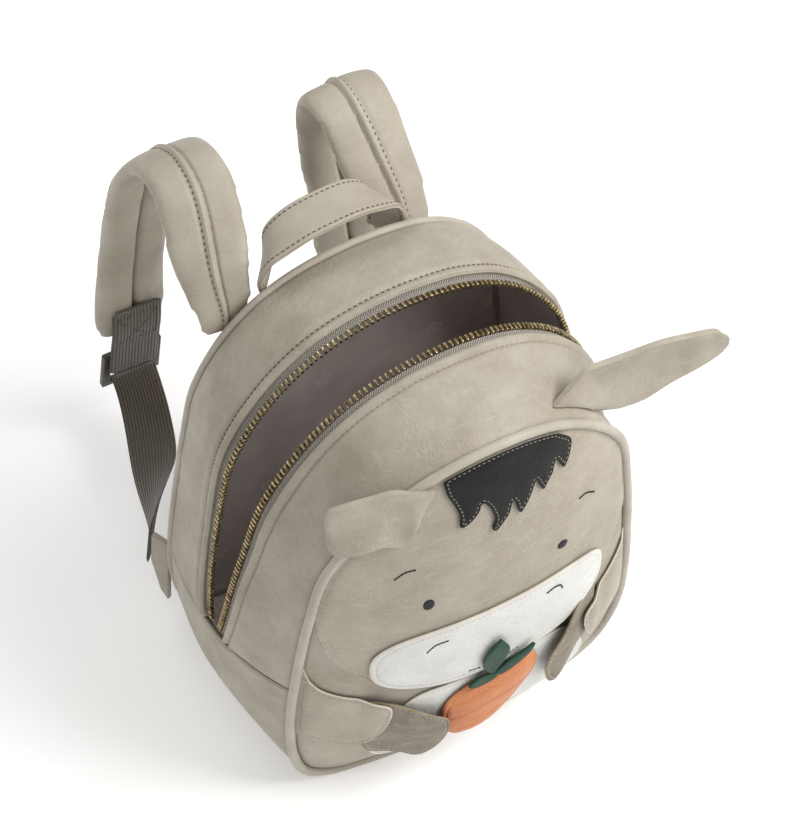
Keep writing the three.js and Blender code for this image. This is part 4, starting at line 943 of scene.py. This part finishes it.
for name, side in (("left", -1), ("right", 1)):
    tip = {"left": 30, "right": 32}[name]
    standOff = lambda x, z: 5.6 * ease(56 - np.abs(x), 0, 56 - tip) + 0.5 * softFold(x, z, 0 * x, 18)
    hoof = splineThrough(hoofLines[name], closed=True, perSpan=14)
    flatPiece("hoof_" + name + "_leather", hoof, layer["first"] + 1.2, leathers["hoof"], ["hoof_" + name],
              inset=2.2, thread=threads["pale"], edge=leathers["olive"], shape=standOff)
    cuff = lambda x, z: underPiping(x, z) + 3.6 * ease(70 - np.abs(x), 0, 11)
    arm = splineThrough([(-side * x, z) for x, z in armTop + armLow], perSpan=14)
    turnTop = turnAtHeight("front", armTop[0][1])
    turnLow = turnAtHeight("front", armLow[-1][1])
    rim = panelEdge(turnLow, turnTop, 3.6, 40)
    rim = rim if side < 0 else panelEdge(1 - turnLow, 1 - turnTop, 3.6, 40)
    arm = np.vstack([arm, rim, arm[:1]])
    flatPiece("arm_" + name + "_leather", arm, layer["first"], leathers["taupe"], ["arm_" + name],
              puff=1.4, inset=2.3, thread=threads["pale"], edge=leathers["cream"], dip=0.45, shape=cuff)

carrotLine = splineThrough([(-28.4, 67), (-25.7, 78), (-17.1, 85.6), (-6.2, 88.6), (5, 91.2), (14.5, 92.6), (20.2, 90.2), (23.8, 83.2),
                            (24.2, 74.8), (20.8, 64.4), (15.1, 54.9), (7, 46), (-0.4, 39), (-9.6, 36.6), (-18.2, 39.8), (-23.6, 46.2),
                            (-27.6, 56)], closed=True, perSpan=14)
carrotSeams = [[(-22, 74), (-9, 78.5), (4, 80.5), (14, 80)], [(-24, 60), (-9, 64), (4, 67.5), (15, 68)], [(-18, 47), (-7, 50), (3, 54)]]
seamLines = [splineThrough(points, perSpan=14) for points in carrotSeams]
carrotLift, carrotPuff = layer["second"] + 0.4, 3.4


def carrotDips(x, z):
    dip = 0 * x
    dip = dip + 3.2 * ease(62 - z, 0, 24)
    for line in seamLines:
        dip = dip - 0.8 * np.exp(-(awayFrom(np.stack([x, z], -1), line) / 0.9) ** 2)
    return dip


flatPiece("carrot_leather", carrotLine, carrotLift, leathers["orange"], ["carrot"], puff=carrotPuff, inset=2.3,
          thread=threads["orange"], cell=1.1, shape=carrotDips, dip=0.5)
for i, line in enumerate(seamLines):
    rise = carrotLift + 1.2 + carrotPuff * np.sqrt(ease(awayFrom(line, carrotLine), 0, 16)) + 0.2 + carrotDips(line[:, 0], line[:, 1])
    stitches("carrot_seam_" + str(i + 1), onFace(line[:, 0], line[:, 1], rise), onFace(line[:, 0], line[:, 1], rise + 1),
             threads["orange"], 2.9, 2, 0.26)

leafLines = [
    [(-3.6, 91.6), (-8.4, 98.6), (-10.6, 107), (-8.8, 116), (-4.8, 122.4), (-2.4, 124.6), (-0.2, 121.4), (3, 114.6), (3.8, 107), (1.2, 97.8)],
    [(-3.7, 89.6), (0.7, 93.6), (7.6, 99.8), (13, 103.2), (17.6, 105), (18.4, 103.6), (16.8, 98), (10, 90.6), (2, 86.4)],
    [(-17, 90.6), (-13, 93.6), (-7.4, 93), (-0.8, 90), (-0.5, 86), (-7.2, 84), (-13.4, 85.4), (-17, 89)],
]
for i, points in enumerate(leafLines):
    leaf = splineThrough(points, closed=True, perSpan=14)
    foot, tip = np.array(points[0 if i < 2 else -4]), np.array(points[4 if i < 2 else 0])
    bend = lambda x, z: 2.2 * ease(np.hypot(x - foot[0], z - foot[1]), 3, 30)
    flatPiece("leaf_" + str(i + 1), leaf, layer["third"] + 0.5, leathers["green"], ["carrot_leaf_" + str(i + 1)],
              cell=1.0, puff=0.4, shape=bend)
print("arms, hooves, carrot")


# Ears, handle, straps and webbing follow rows that are read smoothly
def sampledRows(rows, count):
    table = np.array(rows, float)
    spot = np.linspace(0, len(table) - 1, count + 1)
    i = np.minimum(spot.astype(int), len(table) - 2)
    t = (spot - i)[:, None]
    a, b, d, e = (table[np.maximum(i - 1, 0)], table[i], table[i + 1], table[np.minimum(i + 2, len(table) - 1)])
    return (2 * b + (d - a) * t + (2 * a - 5 * b + 4 * d - e) * t ** 2 + (3 * b - a - 3 * d + e) * t ** 3) / 2


def unit(v):
    return v / np.linalg.norm(v, axis=-1, keepdims=True)


def bandFrame(line, across):
    ahead = np.vstack([line[1:], line[-1:]])
    behind = np.vstack([line[:1], line[:-1]])
    along = unit(ahead - behind)
    wide = unit(across - along * (across * along).sum(-1, keepdims=True))
    return along, wide, np.cross(along, wide)


def levelWay(turn, side=1, roll=0):
    turn = np.radians(np.asarray(turn, float))
    return np.stack([np.cos(turn), side * np.sin(turn), np.zeros_like(turn) + roll], -1)


def ringBand(name, line, across, widths, thicks, profile, around=40):  # profile(angle) gives shares across and out
    along, wide, out = bandFrame(line, across)
    count = len(line) - 1

    def place(turn, part):
        i = np.minimum(np.round(part * count).astype(int), count)
        a, b = profile(turn * 2 * math.pi, part)
        end = np.minimum(part, 1 - part) * count
        close = np.where(end < 0.5, 0.86, 1)
        return line[i] + wide[i] * (a * close * widths[i] / 2)[:, None] + out[i] * (b * close * thicks[i] / 2)[:, None]

    obj = shapedGrid(name, around, count, place, ringed=True)

    def caps():
        bpy.ops.mesh.select_all(action="DESELECT")
        bpy.ops.mesh.select_non_manifold()
        bpy.ops.mesh.fill_holes(sides=0)
        bpy.ops.mesh.select_all(action="SELECT")
        bpy.ops.mesh.normals_make_consistent(inside=False)

    inEdit(obj, caps)
    return obj


def alongBand(line, across, widths, thicks, a, b, start=0, stop=None):
    _, wide, out = bandFrame(line, across)
    part = slice(start, stop)
    p = line + wide * (a * widths / 2)[:, None] + out * (b * thicks / 2)[:, None]
    return p[part], (p + out * math.copysign(1, b))[part]


# Ears
earTables = {  # out, back, rise, lean, deep, tall, cup
    "right": [(0.19, 0.03, 0, -0.43, 0.1, 0.9, 0.16), (0.41, 0.02, -0.02, -0.24, 0.08, 0.9, 0.2),
              (0.61, 0, 0.02, -0.19, 0.02, 0.84, 0.16), (0.79, -0.02, 0.03, -0.14, 0, 0.7, 0.1),
              (0.93, -0.02, 0.02, -0.1, 0, 0.54, 0.05), (1.01, -0.02, 0, -0.02, 0, 0.3, 0), (1.04, -0.02, -0.005, 0, 0, 0.08, 0)],
    "left": [(0, -0.03, 0, -0.12, 0, 0.21, 0), (0.154, -0.035, -0.09, -0.02, 0.12, 0.56, 0),
             (0.308, 0.008, -0.163, 0.07, 0.17, 0.86, 0.03), (0.5, 0.048, -0.14, 0.07, 0.21, 0.72, 0.05),
             (0.683, 0.087, -0.154, 0.095, 0.24, 0.7, 0.05), (0.84, 0.154, -0.2, 0.06, 0.21, 0.7, 0.03),
             (0.91, 0.2, -0.21, 0.02, 0.15, 0.6, 0), (0.93, 0.225, -0.22, 0, 0.05, 0.3, 0)],
}
ears = {"wide": 42, "thick": 2.8, "rightLong": 80, "leftLong": 52, "rootHigh": 247, "rootLow": 222, "rootAcross": 0.955, "leftRoot": 35}
shares = np.linspace(-1, 1, 7)
lowTurn = 1 - turnAtHeight("front", ears["rootLow"])
highTurn = 1 - turnAtHeight("front", ears["rootHigh"])
earAlong, earAcross = 60, 40
seatShares = np.linspace(-1, 1, earAcross + 1)
seat = gussetPoint(lowTurn + (highTurn - lowTurn) * (seatShares + 1) / 2, ears["rootAcross"], 0.9)


def earSurface(table, side, start, length, rows):
    r = sampledRows(table, rows)
    centre = start + np.stack([side * r[:, 0] * length, r[:, 1] * length, r[:, 2] * length], -1)
    half = np.stack([side * r[:, 3], r[:, 4], r[:, 5]], -1) * ears["wide"] / 2
    look = unit(np.cross(half, [-side, 0, 0])) * side
    a = seatShares
    spots = centre[:, None] + half[:, None] * a[None, :, None]
    spots = spots - look[:, None] * (r[:, 6] * ears["wide"] * 0.5)[:, None, None] * (1 - a ** 2)[None, :, None]
    return spots, look


def earPiece(name, spots, looks, replaced, edge=None):
    rows, cols = spots.shape[:2]

    def place(u, v):
        i, j = np.round(u * (rows - 1)).astype(int), np.round(v * (cols - 1)).astype(int)
        p = spots[i, j]
        ease1 = np.minimum(np.minimum(j, cols - 1 - j) / 6, 1) * np.minimum((rows - 1 - i) / 5, 1)
        soft = 0.6 * softFold(p[:, 0], p[:, 1], p[:, 2], 16) + 0.2 * softFold(p[:, 0], p[:, 1], p[:, 2], 6)
        return p + looks[i, j] * (ears["thick"] / 2 - 0.5 * (1 - ease1) + soft * ease1)[:, None]

    obj = shapedGrid(name, rows - 1, cols - 1, place)
    obj.data.update()
    total = sum((f.normal.dot(Vector(looks[rows // 2, cols // 2])) * f.area) for f in obj.data.polygons)
    if total < 0:
        inEdit(obj, lambda: bpy.ops.mesh.flip_normals())
    walled(obj, ears["thick"], 0.7, 3, rim=1 if edge else 0)
    return finishPiece(obj, leathers["taupe"], replaced, edge)


rightStart = gussetPoint((lowTurn + highTurn) / 2, ears["rootAcross"], 0.9)
body, looks = earSurface(earTables["right"], 1, rightStart, ears["rightLong"], earAlong)
seatLook = np.tile([0, -1.0, 0], (1, 1))
first = 6
blend = np.linspace(0, 1, first + 1)[:-1, None, None]
rootSpots = seat[None] * (1 - blend) + body[0][None] * blend
rootLooks = unit(seatLook[None] * (1 - blend) + looks[0][None, None] * blend)
rightSpots = np.vstack([rootSpots, body])
rightLooks = np.vstack([np.broadcast_to(rootLooks, (first, 1, 3)), looks[:, None]])
earPiece("ear_right_leather", rightSpots, np.broadcast_to(rightLooks, rightSpots.shape), ["ear_right"])


def topOfPanel(x, margin):
    low, high = bag["panelMiddle"], bag["height"]
    limit = 1 - margin / (bag["height"] - bag["panelMiddle"])
    for _ in range(30):
        middle = (low + high) / 2
        if shareOfPanel("front", np.array(x), np.array(middle)) < limit:
            low = middle
        else:
            high = middle
    return low


leftStart = onFace(-ears["leftRoot"], topOfPanel(-ears["leftRoot"], 3.2), layer["second"] + ears["thick"] / 2 - 1.2)
leftSpots, looks = earSurface(earTables["left"], -1, leftStart, ears["leftLong"], earAlong)
earPiece("ear_left_leather", leftSpots, np.broadcast_to(looks[:, None], leftSpots.shape), ["ear_left"], leathers["cream"])
print("ears")

# Grab handle: two folded layers, sewn near both edges
handleTable = [(-1, 0, 0.8, 48), (-1.04, 0.3, 0.88, 52), (-0.9, 0.68, 1, 66), (-0.5, 0.94, 1, 84), (0, 1.02, 1, 90),
               (0.5, 1, 1, 96), (0.9, 0.76, 1, 114), (1.04, 0.36, 0.88, 128), (1, 0, 0.8, 132)]
handle = {"span": 65, "rise": 31, "wide": 23, "thick": 2.8, "shift": -6.5, "low": 240}
rows = sampledRows(handleTable, 90)
handleBack = rearPlane + bag["piping"] - 0.7 + handle["wide"] / 2
handleLine = np.stack([handle["shift"] + rows[:, 0] * handle["span"] / 2,
                       handleBack + (rows[:, 2] - 1) * handle["wide"] / 2, handle["low"] + rows[:, 1] * handle["rise"]], -1)
handleAcross = levelWay(rows[:, 3])
handleWide, handleThick = handle["wide"] * rows[:, 2], np.full(91, handle["thick"])


def layeredProfile(angle, part):
    c, s = np.cos(angle), np.sin(angle)
    a = np.sign(c) * np.abs(c) ** 0.35
    b = np.sign(s) * np.abs(s) ** 0.28
    a = a - 0.045 * np.sign(c) * np.exp(-(s / 0.12) ** 2)
    b = b * (1 - 0.3 * np.exp(-((np.abs(a) - 0.8) / 0.035) ** 2) + 0.12 * np.exp(-((np.abs(a) - 0.9) / 0.05) ** 2))
    return a, b


handleObject = ringBand("handle_leather", handleLine, handleAcross, handleWide, handleThick, layeredProfile, 64)
finishPiece(handleObject, leathers["strap"], ["handle"])
for i, a in enumerate((-0.8, 0.8)):
    for j, b in enumerate((-0.88, 0.88)):
        line, high = alongBand(handleLine, handleAcross, handleWide, handleThick, a, b, 3, -3)
        stitches("handle_stitches_%d_%d" % (i, j), line, high, threads["brown"], 2.9, 2.1, 0.3)
print("handle")

# Padded shoulder straps
strapTables = {  # back, up, wide, thick, turn, in, roll
    "left": [(0, -0.6, 0.6, 0.4, 0, -0.11, 40), (0.05, -0.12, 0.78, 0.6, 0, -0.12, 36), (0.17, 0.2, 0.97, 0.9, 0, -0.07, 24),
             (0.36, 0.6, 1, 1, 0, 0.02, 12), (0.52, 0.66, 1, 1, 0, 0.04, 2), (0.67, 0.32, 1, 1, 1, 0.05, 0), (0.8, -0.4, 1, 1, 1, 0.04, 0),
             (0.88, -1.3, 1, 1, 0, 0.05, 0), (0.93, -2.2, 1, 1, -1, 0.06, 0), (0.96, -3.2, 1, 1, -2, 0.06, 0),
             (0.96, -3.85, 0.98, 0.95, -2, 0.06, 0), (0.96, -4.15, 0.84, 0.7, -2, 0.06, 0)],
    "right": [(0.012, -0.84, 0.58, 0.32, 0, 0.22, 24), (0.024, -0.64, 0.66, 0.42, 0, 0.25, 24), (0.07, -0.5, 0.8, 0.7, 0, 0.28, 20),
              (0.19, -0.22, 0.95, 0.9, 0, 0.28, 12), (0.34, 0.18, 1.02, 1, 0, 0.3, 6), (0.48, 0.54, 1.02, 1, 0, 0.32, 0),
              (0.59, 0.52, 1.02, 1, 0, 0.33, 0), (0.665, 0, 1, 1, 0, 0.31, 0), (0.705, -1.15, 1, 1, 0, 0.21, 0),
              (0.73, -2.2, 1, 1, 4, 0.05, 0), (0.77, -2.93, 1, 1, 8, -0.035, 0), (0.81, -3.58, 0.98, 0.95, 8, -0.14, 0),
              (0.84, -3.9, 0.8, 0.7, 8, -0.22, 0)],
}
strap = {
    "wide": 41, "thick": 12, "out": 57, "reach": 122, "top": 41, "foot": 245, "back": rearPlane + bag["piping"] + 3.2,
    "webWide": 25, "webThick": 1.6, "webSag": 11, "patchOn": 27, "patchHang": 30, "buckleWide": 33, "buckleHigh": 30,
    "buckleThick": 3.4, "tabX": 96.33, "tabHigh": 50, "tabReach": 11, "tabUp": 13,
}
strapSteps = 20


def strapLine(name, side, count):
    rows = sampledRows(strapTables[name], count)
    line = np.stack([side * strap["out"] * (1 - rows[:, 5]), strap["back"] + rows[:, 0] * strap["reach"],
                     strap["foot"] + rows[:, 1] * strap["top"]], -1)
    across = levelWay(rows[:, 4] * -side)
    across[:, 2] = -side * np.tan(np.radians(rows[:, 6]))
    return line, across, strap["wide"] * rows[:, 2], strap["thick"] * rows[:, 3]


def padProfile(angle, part):
    c, s = np.cos(angle), np.sin(angle)
    return np.sign(c) * np.abs(c) ** 0.72, np.sign(s) * np.abs(s) ** 0.62 * 0.9


def inflate(obj, pressure):
    mod = obj.modifiers.new("Cloth", "CLOTH")
    settings = mod.settings
    settings.use_pressure = True
    settings.uniform_pressure_force = pressure
    settings.quality = 6
    settings.mass = 0.35
    settings.tension_stiffness = settings.compression_stiffness = 28
    settings.shear_stiffness = 16
    settings.bending_stiffness = 3
    settings.effector_weights.gravity = 0
    mod.collision_settings.use_collision = False
    mod.point_cache.frame_start, mod.point_cache.frame_end = 1, 20
    return mod


straps = {}
for name, side in (("left", -1), ("right", 1)):
    line, across, wides, thicks = strapLine(name, side, 150)
    straps[name] = line, across, wides, thicks
    pad = ringBand("strap_" + name + "_pad", line, across, wides * 0.985, thicks * 0.92, padProfile, 120)
    before = np.array([v.co for v in pad.data.vertices])
    addModifier(pad, "REMESH", mode="VOXEL", voxel_size=2.6 * mm)
    rest = np.array([v.co for v in pad.data.vertices])
    inflate(pad, 3.5)
    for step in range(1, 21):
        scene.frame_set(step)
    pickOnly(pad)
    bpy.ops.object.modifier_apply(modifier="Cloth")
    now = np.array([v.co for v in pad.data.vertices])
    move = now - rest
    size = np.linalg.norm(move, axis=1, keepdims=True)
    move = move * np.minimum(1, 1.6 * mm / np.maximum(size, 1e-9))
    pad.data.vertices.foreach_set("co", (rest + move).ravel())
    addModifier(pad, "SMOOTH", factor=0.5, iterations=6)
    addModifier(pad, "SUBSURF", levels=2)
    print("strap inflated", name, round(float(size.max() / mm), 2))
    co = np.array([v.co for v in pad.data.vertices]) / mm
    _, wideWay, outWay = bandFrame(line, across)
    near = np.concatenate([((co[i:i + 4000, None] - line[None]) ** 2).sum(-1).argmin(1) for i in range(0, len(co), 4000)])
    off = co - line[near]
    a = (off * wideWay[near]).sum(-1) / (wides[near] / 2)
    b = (off * outWay[near]).sum(-1) / (thicks[near] / 2)
    seam = {"left": 0.1, "right": -0.08}[name]
    ends = ease(np.minimum(near, 150 - near), 1, 8)
    outer = ease(-b, 0.1, 0.6) * ends
    inner = ease(b, 0.1, 0.6) * ends
    past = (a - seam) * -side  # the overlapping half is sewn down beside its folded edge
    ridge = 1.1 * np.exp(-((past + 0.07) / 0.07) ** 2) - 0.45 * np.exp(-((past + 0.2) / 0.05) ** 2)
    ridge = ridge - 1.3 * np.exp(-((past - 0.05) / 0.04) ** 2) - 0.4 * ease(past, 0.02, 0.08) * (1 - ease(past, 0.3, 0.9))
    valley = -3.4 * np.exp(-(np.abs(a) / 0.06) ** 1.5) - 0.7 * np.exp(-(a / 0.25) ** 2)
    wave = np.array([noise.noise(Vector(p / 17)) for p in co]) * 0.55 * ends
    move = outWay[near] * (-(ridge * outer) + valley * inner + wave * np.sign(b))[:, None]
    pad.data.vertices.foreach_set("co", ((co + move) * mm).ravel())
    finishPiece(pad, leathers["strap"], ["shoulder_strap_" + name], angle=60)
    sewn, high = alongBand(line, across, wides, thicks, seam + side * 0.2, -1.0, 6, -5)
    found = [pad.closest_point_on_mesh(Vector(p * mm)) for p in sewn]
    sewn = np.array([spot for _, spot, _, _ in found]) / mm
    high = sewn + np.array([normal for _, _, normal, _ in found])
    stitches("strap_" + name + "_stitches", sewn, high, threads["brown"], 3.1, 2.2, 0.36)
print("straps")

# Stitched end patches, ribbed webbing, buckles and tabs
def webProfile(angle, part):
    a = 2 * np.abs(angle / math.pi - 1) - 1
    return a, np.sign(np.sin(angle)) * np.sqrt(np.maximum(1 - np.abs(a) ** 10, 0))


def webUV(obj, line, width):
    length = np.linalg.norm(np.diff(line, axis=0), axis=1).sum()
    scaleUV(obj, 2 * width, length)


def mergedCopy(name, node, bevel, material):
    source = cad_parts[node]
    mesh = source.data.copy()
    obj = bpy.data.objects.new(name, mesh)
    scene.collection.objects.link(obj)
    obj.matrix_world = source.matrix_world
    pickOnly(obj)
    bpy.ops.object.transform_apply(location=True, rotation=True, scale=True)
    inEdit(obj, lambda: bpy.ops.mesh.remove_doubles(threshold=1e-5))
    inEdit(obj, lambda: bpy.ops.mesh.dissolve_limited(angle_limit=math.radians(2)))
    addModifier(obj, "BEVEL", width=bevel * mm, segments=3, limit_method="ANGLE", angle_limit=math.radians(40))
    return finishPiece(obj, material, [node])


for name, side in (("left", -1), ("right", 1)):
    line, across, wides, thicks = strapLine(name, side, strapSteps)
    along, wideWay, inward = bandFrame(line, across)
    first = next(i for i in range(len(line)) if np.linalg.norm(line[i] - line[-1]) < strap["patchOn"] + 4)
    inner = (line + inward * (thicks / 2 + bag["layerGap"] + strap["webThick"] / 2)[:, None])[first:]
    down = unit(inner[-1] - inner[-3])
    wide = unit(across[-1] - down * (across[-1] @ down))
    below = lambda reach, start=inner[-1], way=down: start + way * reach
    patch = np.vstack([inner, below(strap["patchHang"] / 2), below(strap["patchHang"])])
    patchAcross = np.vstack([across[first:], wide, wide])
    patchFine = splineThrough(patch, perSpan=8)
    part = np.linspace(0, 1, len(patch))
    acrossFine = np.stack([np.interp(np.linspace(0, 1, len(patchFine)), part, patchAcross[:, k]) for k in range(3)], -1)
    flat = np.full(len(patchFine), 1.0)
    patchPiece = ringBand("patch_" + name + "_webbing", patchFine, acrossFine, flat * (strap["webWide"] + 3), flat * strap["webThick"], webProfile, 28)
    webUV(patchPiece, patchFine, strap["webWide"])
    finishPiece(patchPiece, webbingLook, ["strap_patch_" + name])
    _, patchWide, patchOut = bandFrame(patchFine, acrossFine)
    spread = lambda a, i, rise=0.85: patchFine[i] + patchWide[i] * (a * (strap["webWide"] + 3) / 2) + patchOut[i] * rise
    box = [(-0.8, 3), (0.8, 3), (0.8, 24), (-0.8, 24), (-0.8, 3), (0.8, 24), (0.8, 3), (-0.8, 24)]
    path = []
    for (a0, i0), (a1, i1) in zip(box[:-1], box[1:]):
        for t in np.linspace(0, 1, 24)[:-1]:
            path.append((a0 + (a1 - a0) * t, int(round(i0 + (i1 - i0) * t))))
    low = np.array([spread(a, i) for a, i in path])
    high = np.array([spread(a, i, 1.85) for a, i in path])
    stitches("patch_" + name + "_stitches", low, high, threads["brown"], 2.6, 1.9, 0.3)

    reach = unit(np.array([side * 0.4, 0.92, 0]))
    start = below(strap["patchHang"] + 2 * bag["layerGap"] + 4)
    stop = np.array([side * strap["tabX"], rearPlane + bag["piping"] + bag["layerGap"], strap["tabUp"] + strap["tabHigh"] * 0.76])
    stop = stop + reach * (strap["tabReach"] + 3.8 * bag["layerGap"])
    sag = np.array([-side * strap["webSag"], 0, -strap["webSag"]])
    second = start + (stop - start) * 0.16 + down * 0.7 * strap["buckleHigh"] + sag
    third = start + (stop - start) * 0.75 + sag
    t = np.linspace(0, 1, 110)[:, None]
    curve = start * (1 - t) ** 3 + 3 * second * t * (1 - t) ** 2 + 3 * third * t * t * (1 - t) + stop * t ** 3
    curve = np.vstack([below(strap["patchHang"] + 2 * bag["layerGap"]), below(strap["patchHang"] + 2 * bag["layerGap"] + 2), curve])
    share = ease(np.linspace(0, 1, len(curve)), 0.3, 1)[:, None]
    webAcross = wide * (1 - share) + np.array([0, 0, -side]) * share
    flat = np.ones(len(curve))
    web = ringBand("webbing_" + name + "_band", curve, webAcross, flat * strap["webWide"], flat * strap["webThick"], webProfile, 28)
    webUV(web, curve, strap["webWide"])
    finishPiece(web, webbingLook, ["webbing_" + name])
    mergedCopy("buckle_" + name + "_frame", "buckle_" + name, 0.8, plasticLook)
    mergedCopy("tab_" + name + "_leather", "strap_tab_" + name, 0.6, leathers["taupe"])
print("webbing and buckles")

# Zip slider with its pull
slider = mergedCopy("zip_slider_body", "zip_slider", 0.5, brassLook)


def noiseField(a, b, size):
    return softFold(a, b, 0 * a + 3.3, size)


# Lining: a sheet from the middle of each panel to the tape of the zip
def liningSheet(name, side, replaced):
    depthAt, column = (backDepth, "rear") if side > 0 else (faceDepth, "front")
    wallHere = bag["backWall"] if side > 0 else bag["wall"]
    discShare = 0.42

    def place(around, part):
        turn = around
        zipOpen = ease(turn, zipStart - 0.004, zipStart + 0.006) * ease(1 - turn, zipStart - 0.004, zipStart + 0.006)
        stop = acrossAt(turn, side * (mouthHalf(turn) + 4.4) * zipOpen)
        disc = np.minimum(part / discShare, 1) * 0.94
        edge = seamPoint(column, turn, 2 * bag["piping"] + bag["seamGap"], 0)
        x = edge[:, 0] * disc
        z = bag["panelMiddle"] + (edge[:, 2] - bag["panelMiddle"]) * disc
        deep = wallHere + 1.7
        sway = 1.6 * (noiseField(x, z * 0.35, 19) + 0.35) * ease(1 - disc, 0.05, 0.3)
        flat = np.stack([x, depthAt(x, z) - side * (deep + np.maximum(sway, 0)), z], -1)
        beyond = np.clip((part - discShare) / (1 - discShare), 0, 1)
        across = beyond * stop if side > 0 else 1 + (stop - 1) * beyond
        p = gussetPoint(turn, across)
        near = ease(1 - beyond, 0, 0.35)
        crease = 1.9 * near * ease(beyond, 0, 0.2) * np.maximum(noiseField(turn * 620, across * 30, 15) + 0.25, 0)
        curved = gussetPoint(turn, across, -bag["wall"] - 1.7 - crease)
        return np.where((part <= discShare)[:, None], flat, curved)

    obj = shapedGrid(name, 260, 64, place, ringed=True)
    faceOut(obj)
    inEdit(obj, lambda: bpy.ops.mesh.flip_normals())
    walled(obj, 0.7, 0)
    return finishPiece(obj, satinLook, replaced)


liningSheet("lining_behind", 1, ["lining"])
liningSheet("lining_before", -1, ["lining"])
print("lining")

# Floor, light and camera
clearPick()
bpy.ops.mesh.primitive_plane_add(size=6)
floor = bpy.context.object
floor.name = "floor"
floorLook, floorTree, floorShader = newMaterial("studio_floor", 0.85, specular=0.2)
floorShader.inputs["Base Color"].default_value = (0.93, 0.93, 0.93, 1)
floorShader.inputs["Emission Color"].default_value = (1, 1, 1, 1)
floorShader.inputs["Emission Strength"].default_value = 0.22
floor.data.materials.append(floorLook)
floor.location.z = -0.0004

world = bpy.data.worlds.new("studio") if scene.world is None else scene.world
scene.world = world
world.use_nodes = True
world.node_tree.nodes["Background"].inputs[0].default_value = (1.0, 0.995, 0.98, 1)
world.node_tree.nodes["Background"].inputs[1].default_value = 0.47


def softLight(name, place, aim, size, power, colour=(1, 1, 1)):
    clearPick()
    bpy.ops.object.light_add(type="AREA", location=place)
    lamp = bpy.context.object
    lamp.name = name
    lamp.data.shape = "RECTANGLE"
    lamp.data.size, lamp.data.size_y = size
    lamp.data.energy = power
    lamp.data.color = colour
    lamp.rotation_euler = (Vector(aim) - Vector(place)).to_track_quat("-Z", "Y").to_euler()
    return lamp


middle = (0, 0, 0.13)
softLight("key", (0.75, -0.55, 1.25), middle, (0.9, 0.9), 20, (1, 0.992, 0.975))
softLight("fill", (-0.9, -1.1, 0.9), middle, (1.4, 1.4), 2.3)
softLight("behind", (-0.3, 1.2, 1.0), middle, (1.2, 0.8), 6)

view = {"azimuth": -33.3, "elevation": 54.9, "roll": 3.7, "lens": 208.5, "far": 2.315, "target": (0.0033, 0.0187, 0.174)}
az, el, roll = (math.radians(view[k]) for k in ("azimuth", "elevation", "roll"))
back = Vector((math.sin(az) * math.cos(el), -math.cos(az) * math.cos(el), math.sin(el)))
right = Vector((math.cos(az), math.sin(az), 0))
up = back.cross(right)
turnedRight = right * math.cos(roll) + up * math.sin(roll)
turnedUp = up * math.cos(roll) - right * math.sin(roll)
camera = bpy.data.objects.new("camera", bpy.data.cameras.new("camera"))
scene.collection.objects.link(camera)
camera.matrix_world = Matrix.Translation(Vector(view["target"]) + back * view["far"]) @ Matrix(
    (turnedRight, turnedUp, back)).transposed().to_4x4()
camera.data.lens = view["lens"]
camera.data.sensor_width = camera.data.sensor_height = 36
camera.data.sensor_fit = "AUTO"
camera.data.clip_start, camera.data.clip_end = 0.05, 20
scene.camera = camera
scene.view_settings.view_transform = "Standard"
scene.view_settings.look = "None"
scene.view_settings.exposure = 0
scene.view_settings.gamma = 1
print("light and camera")
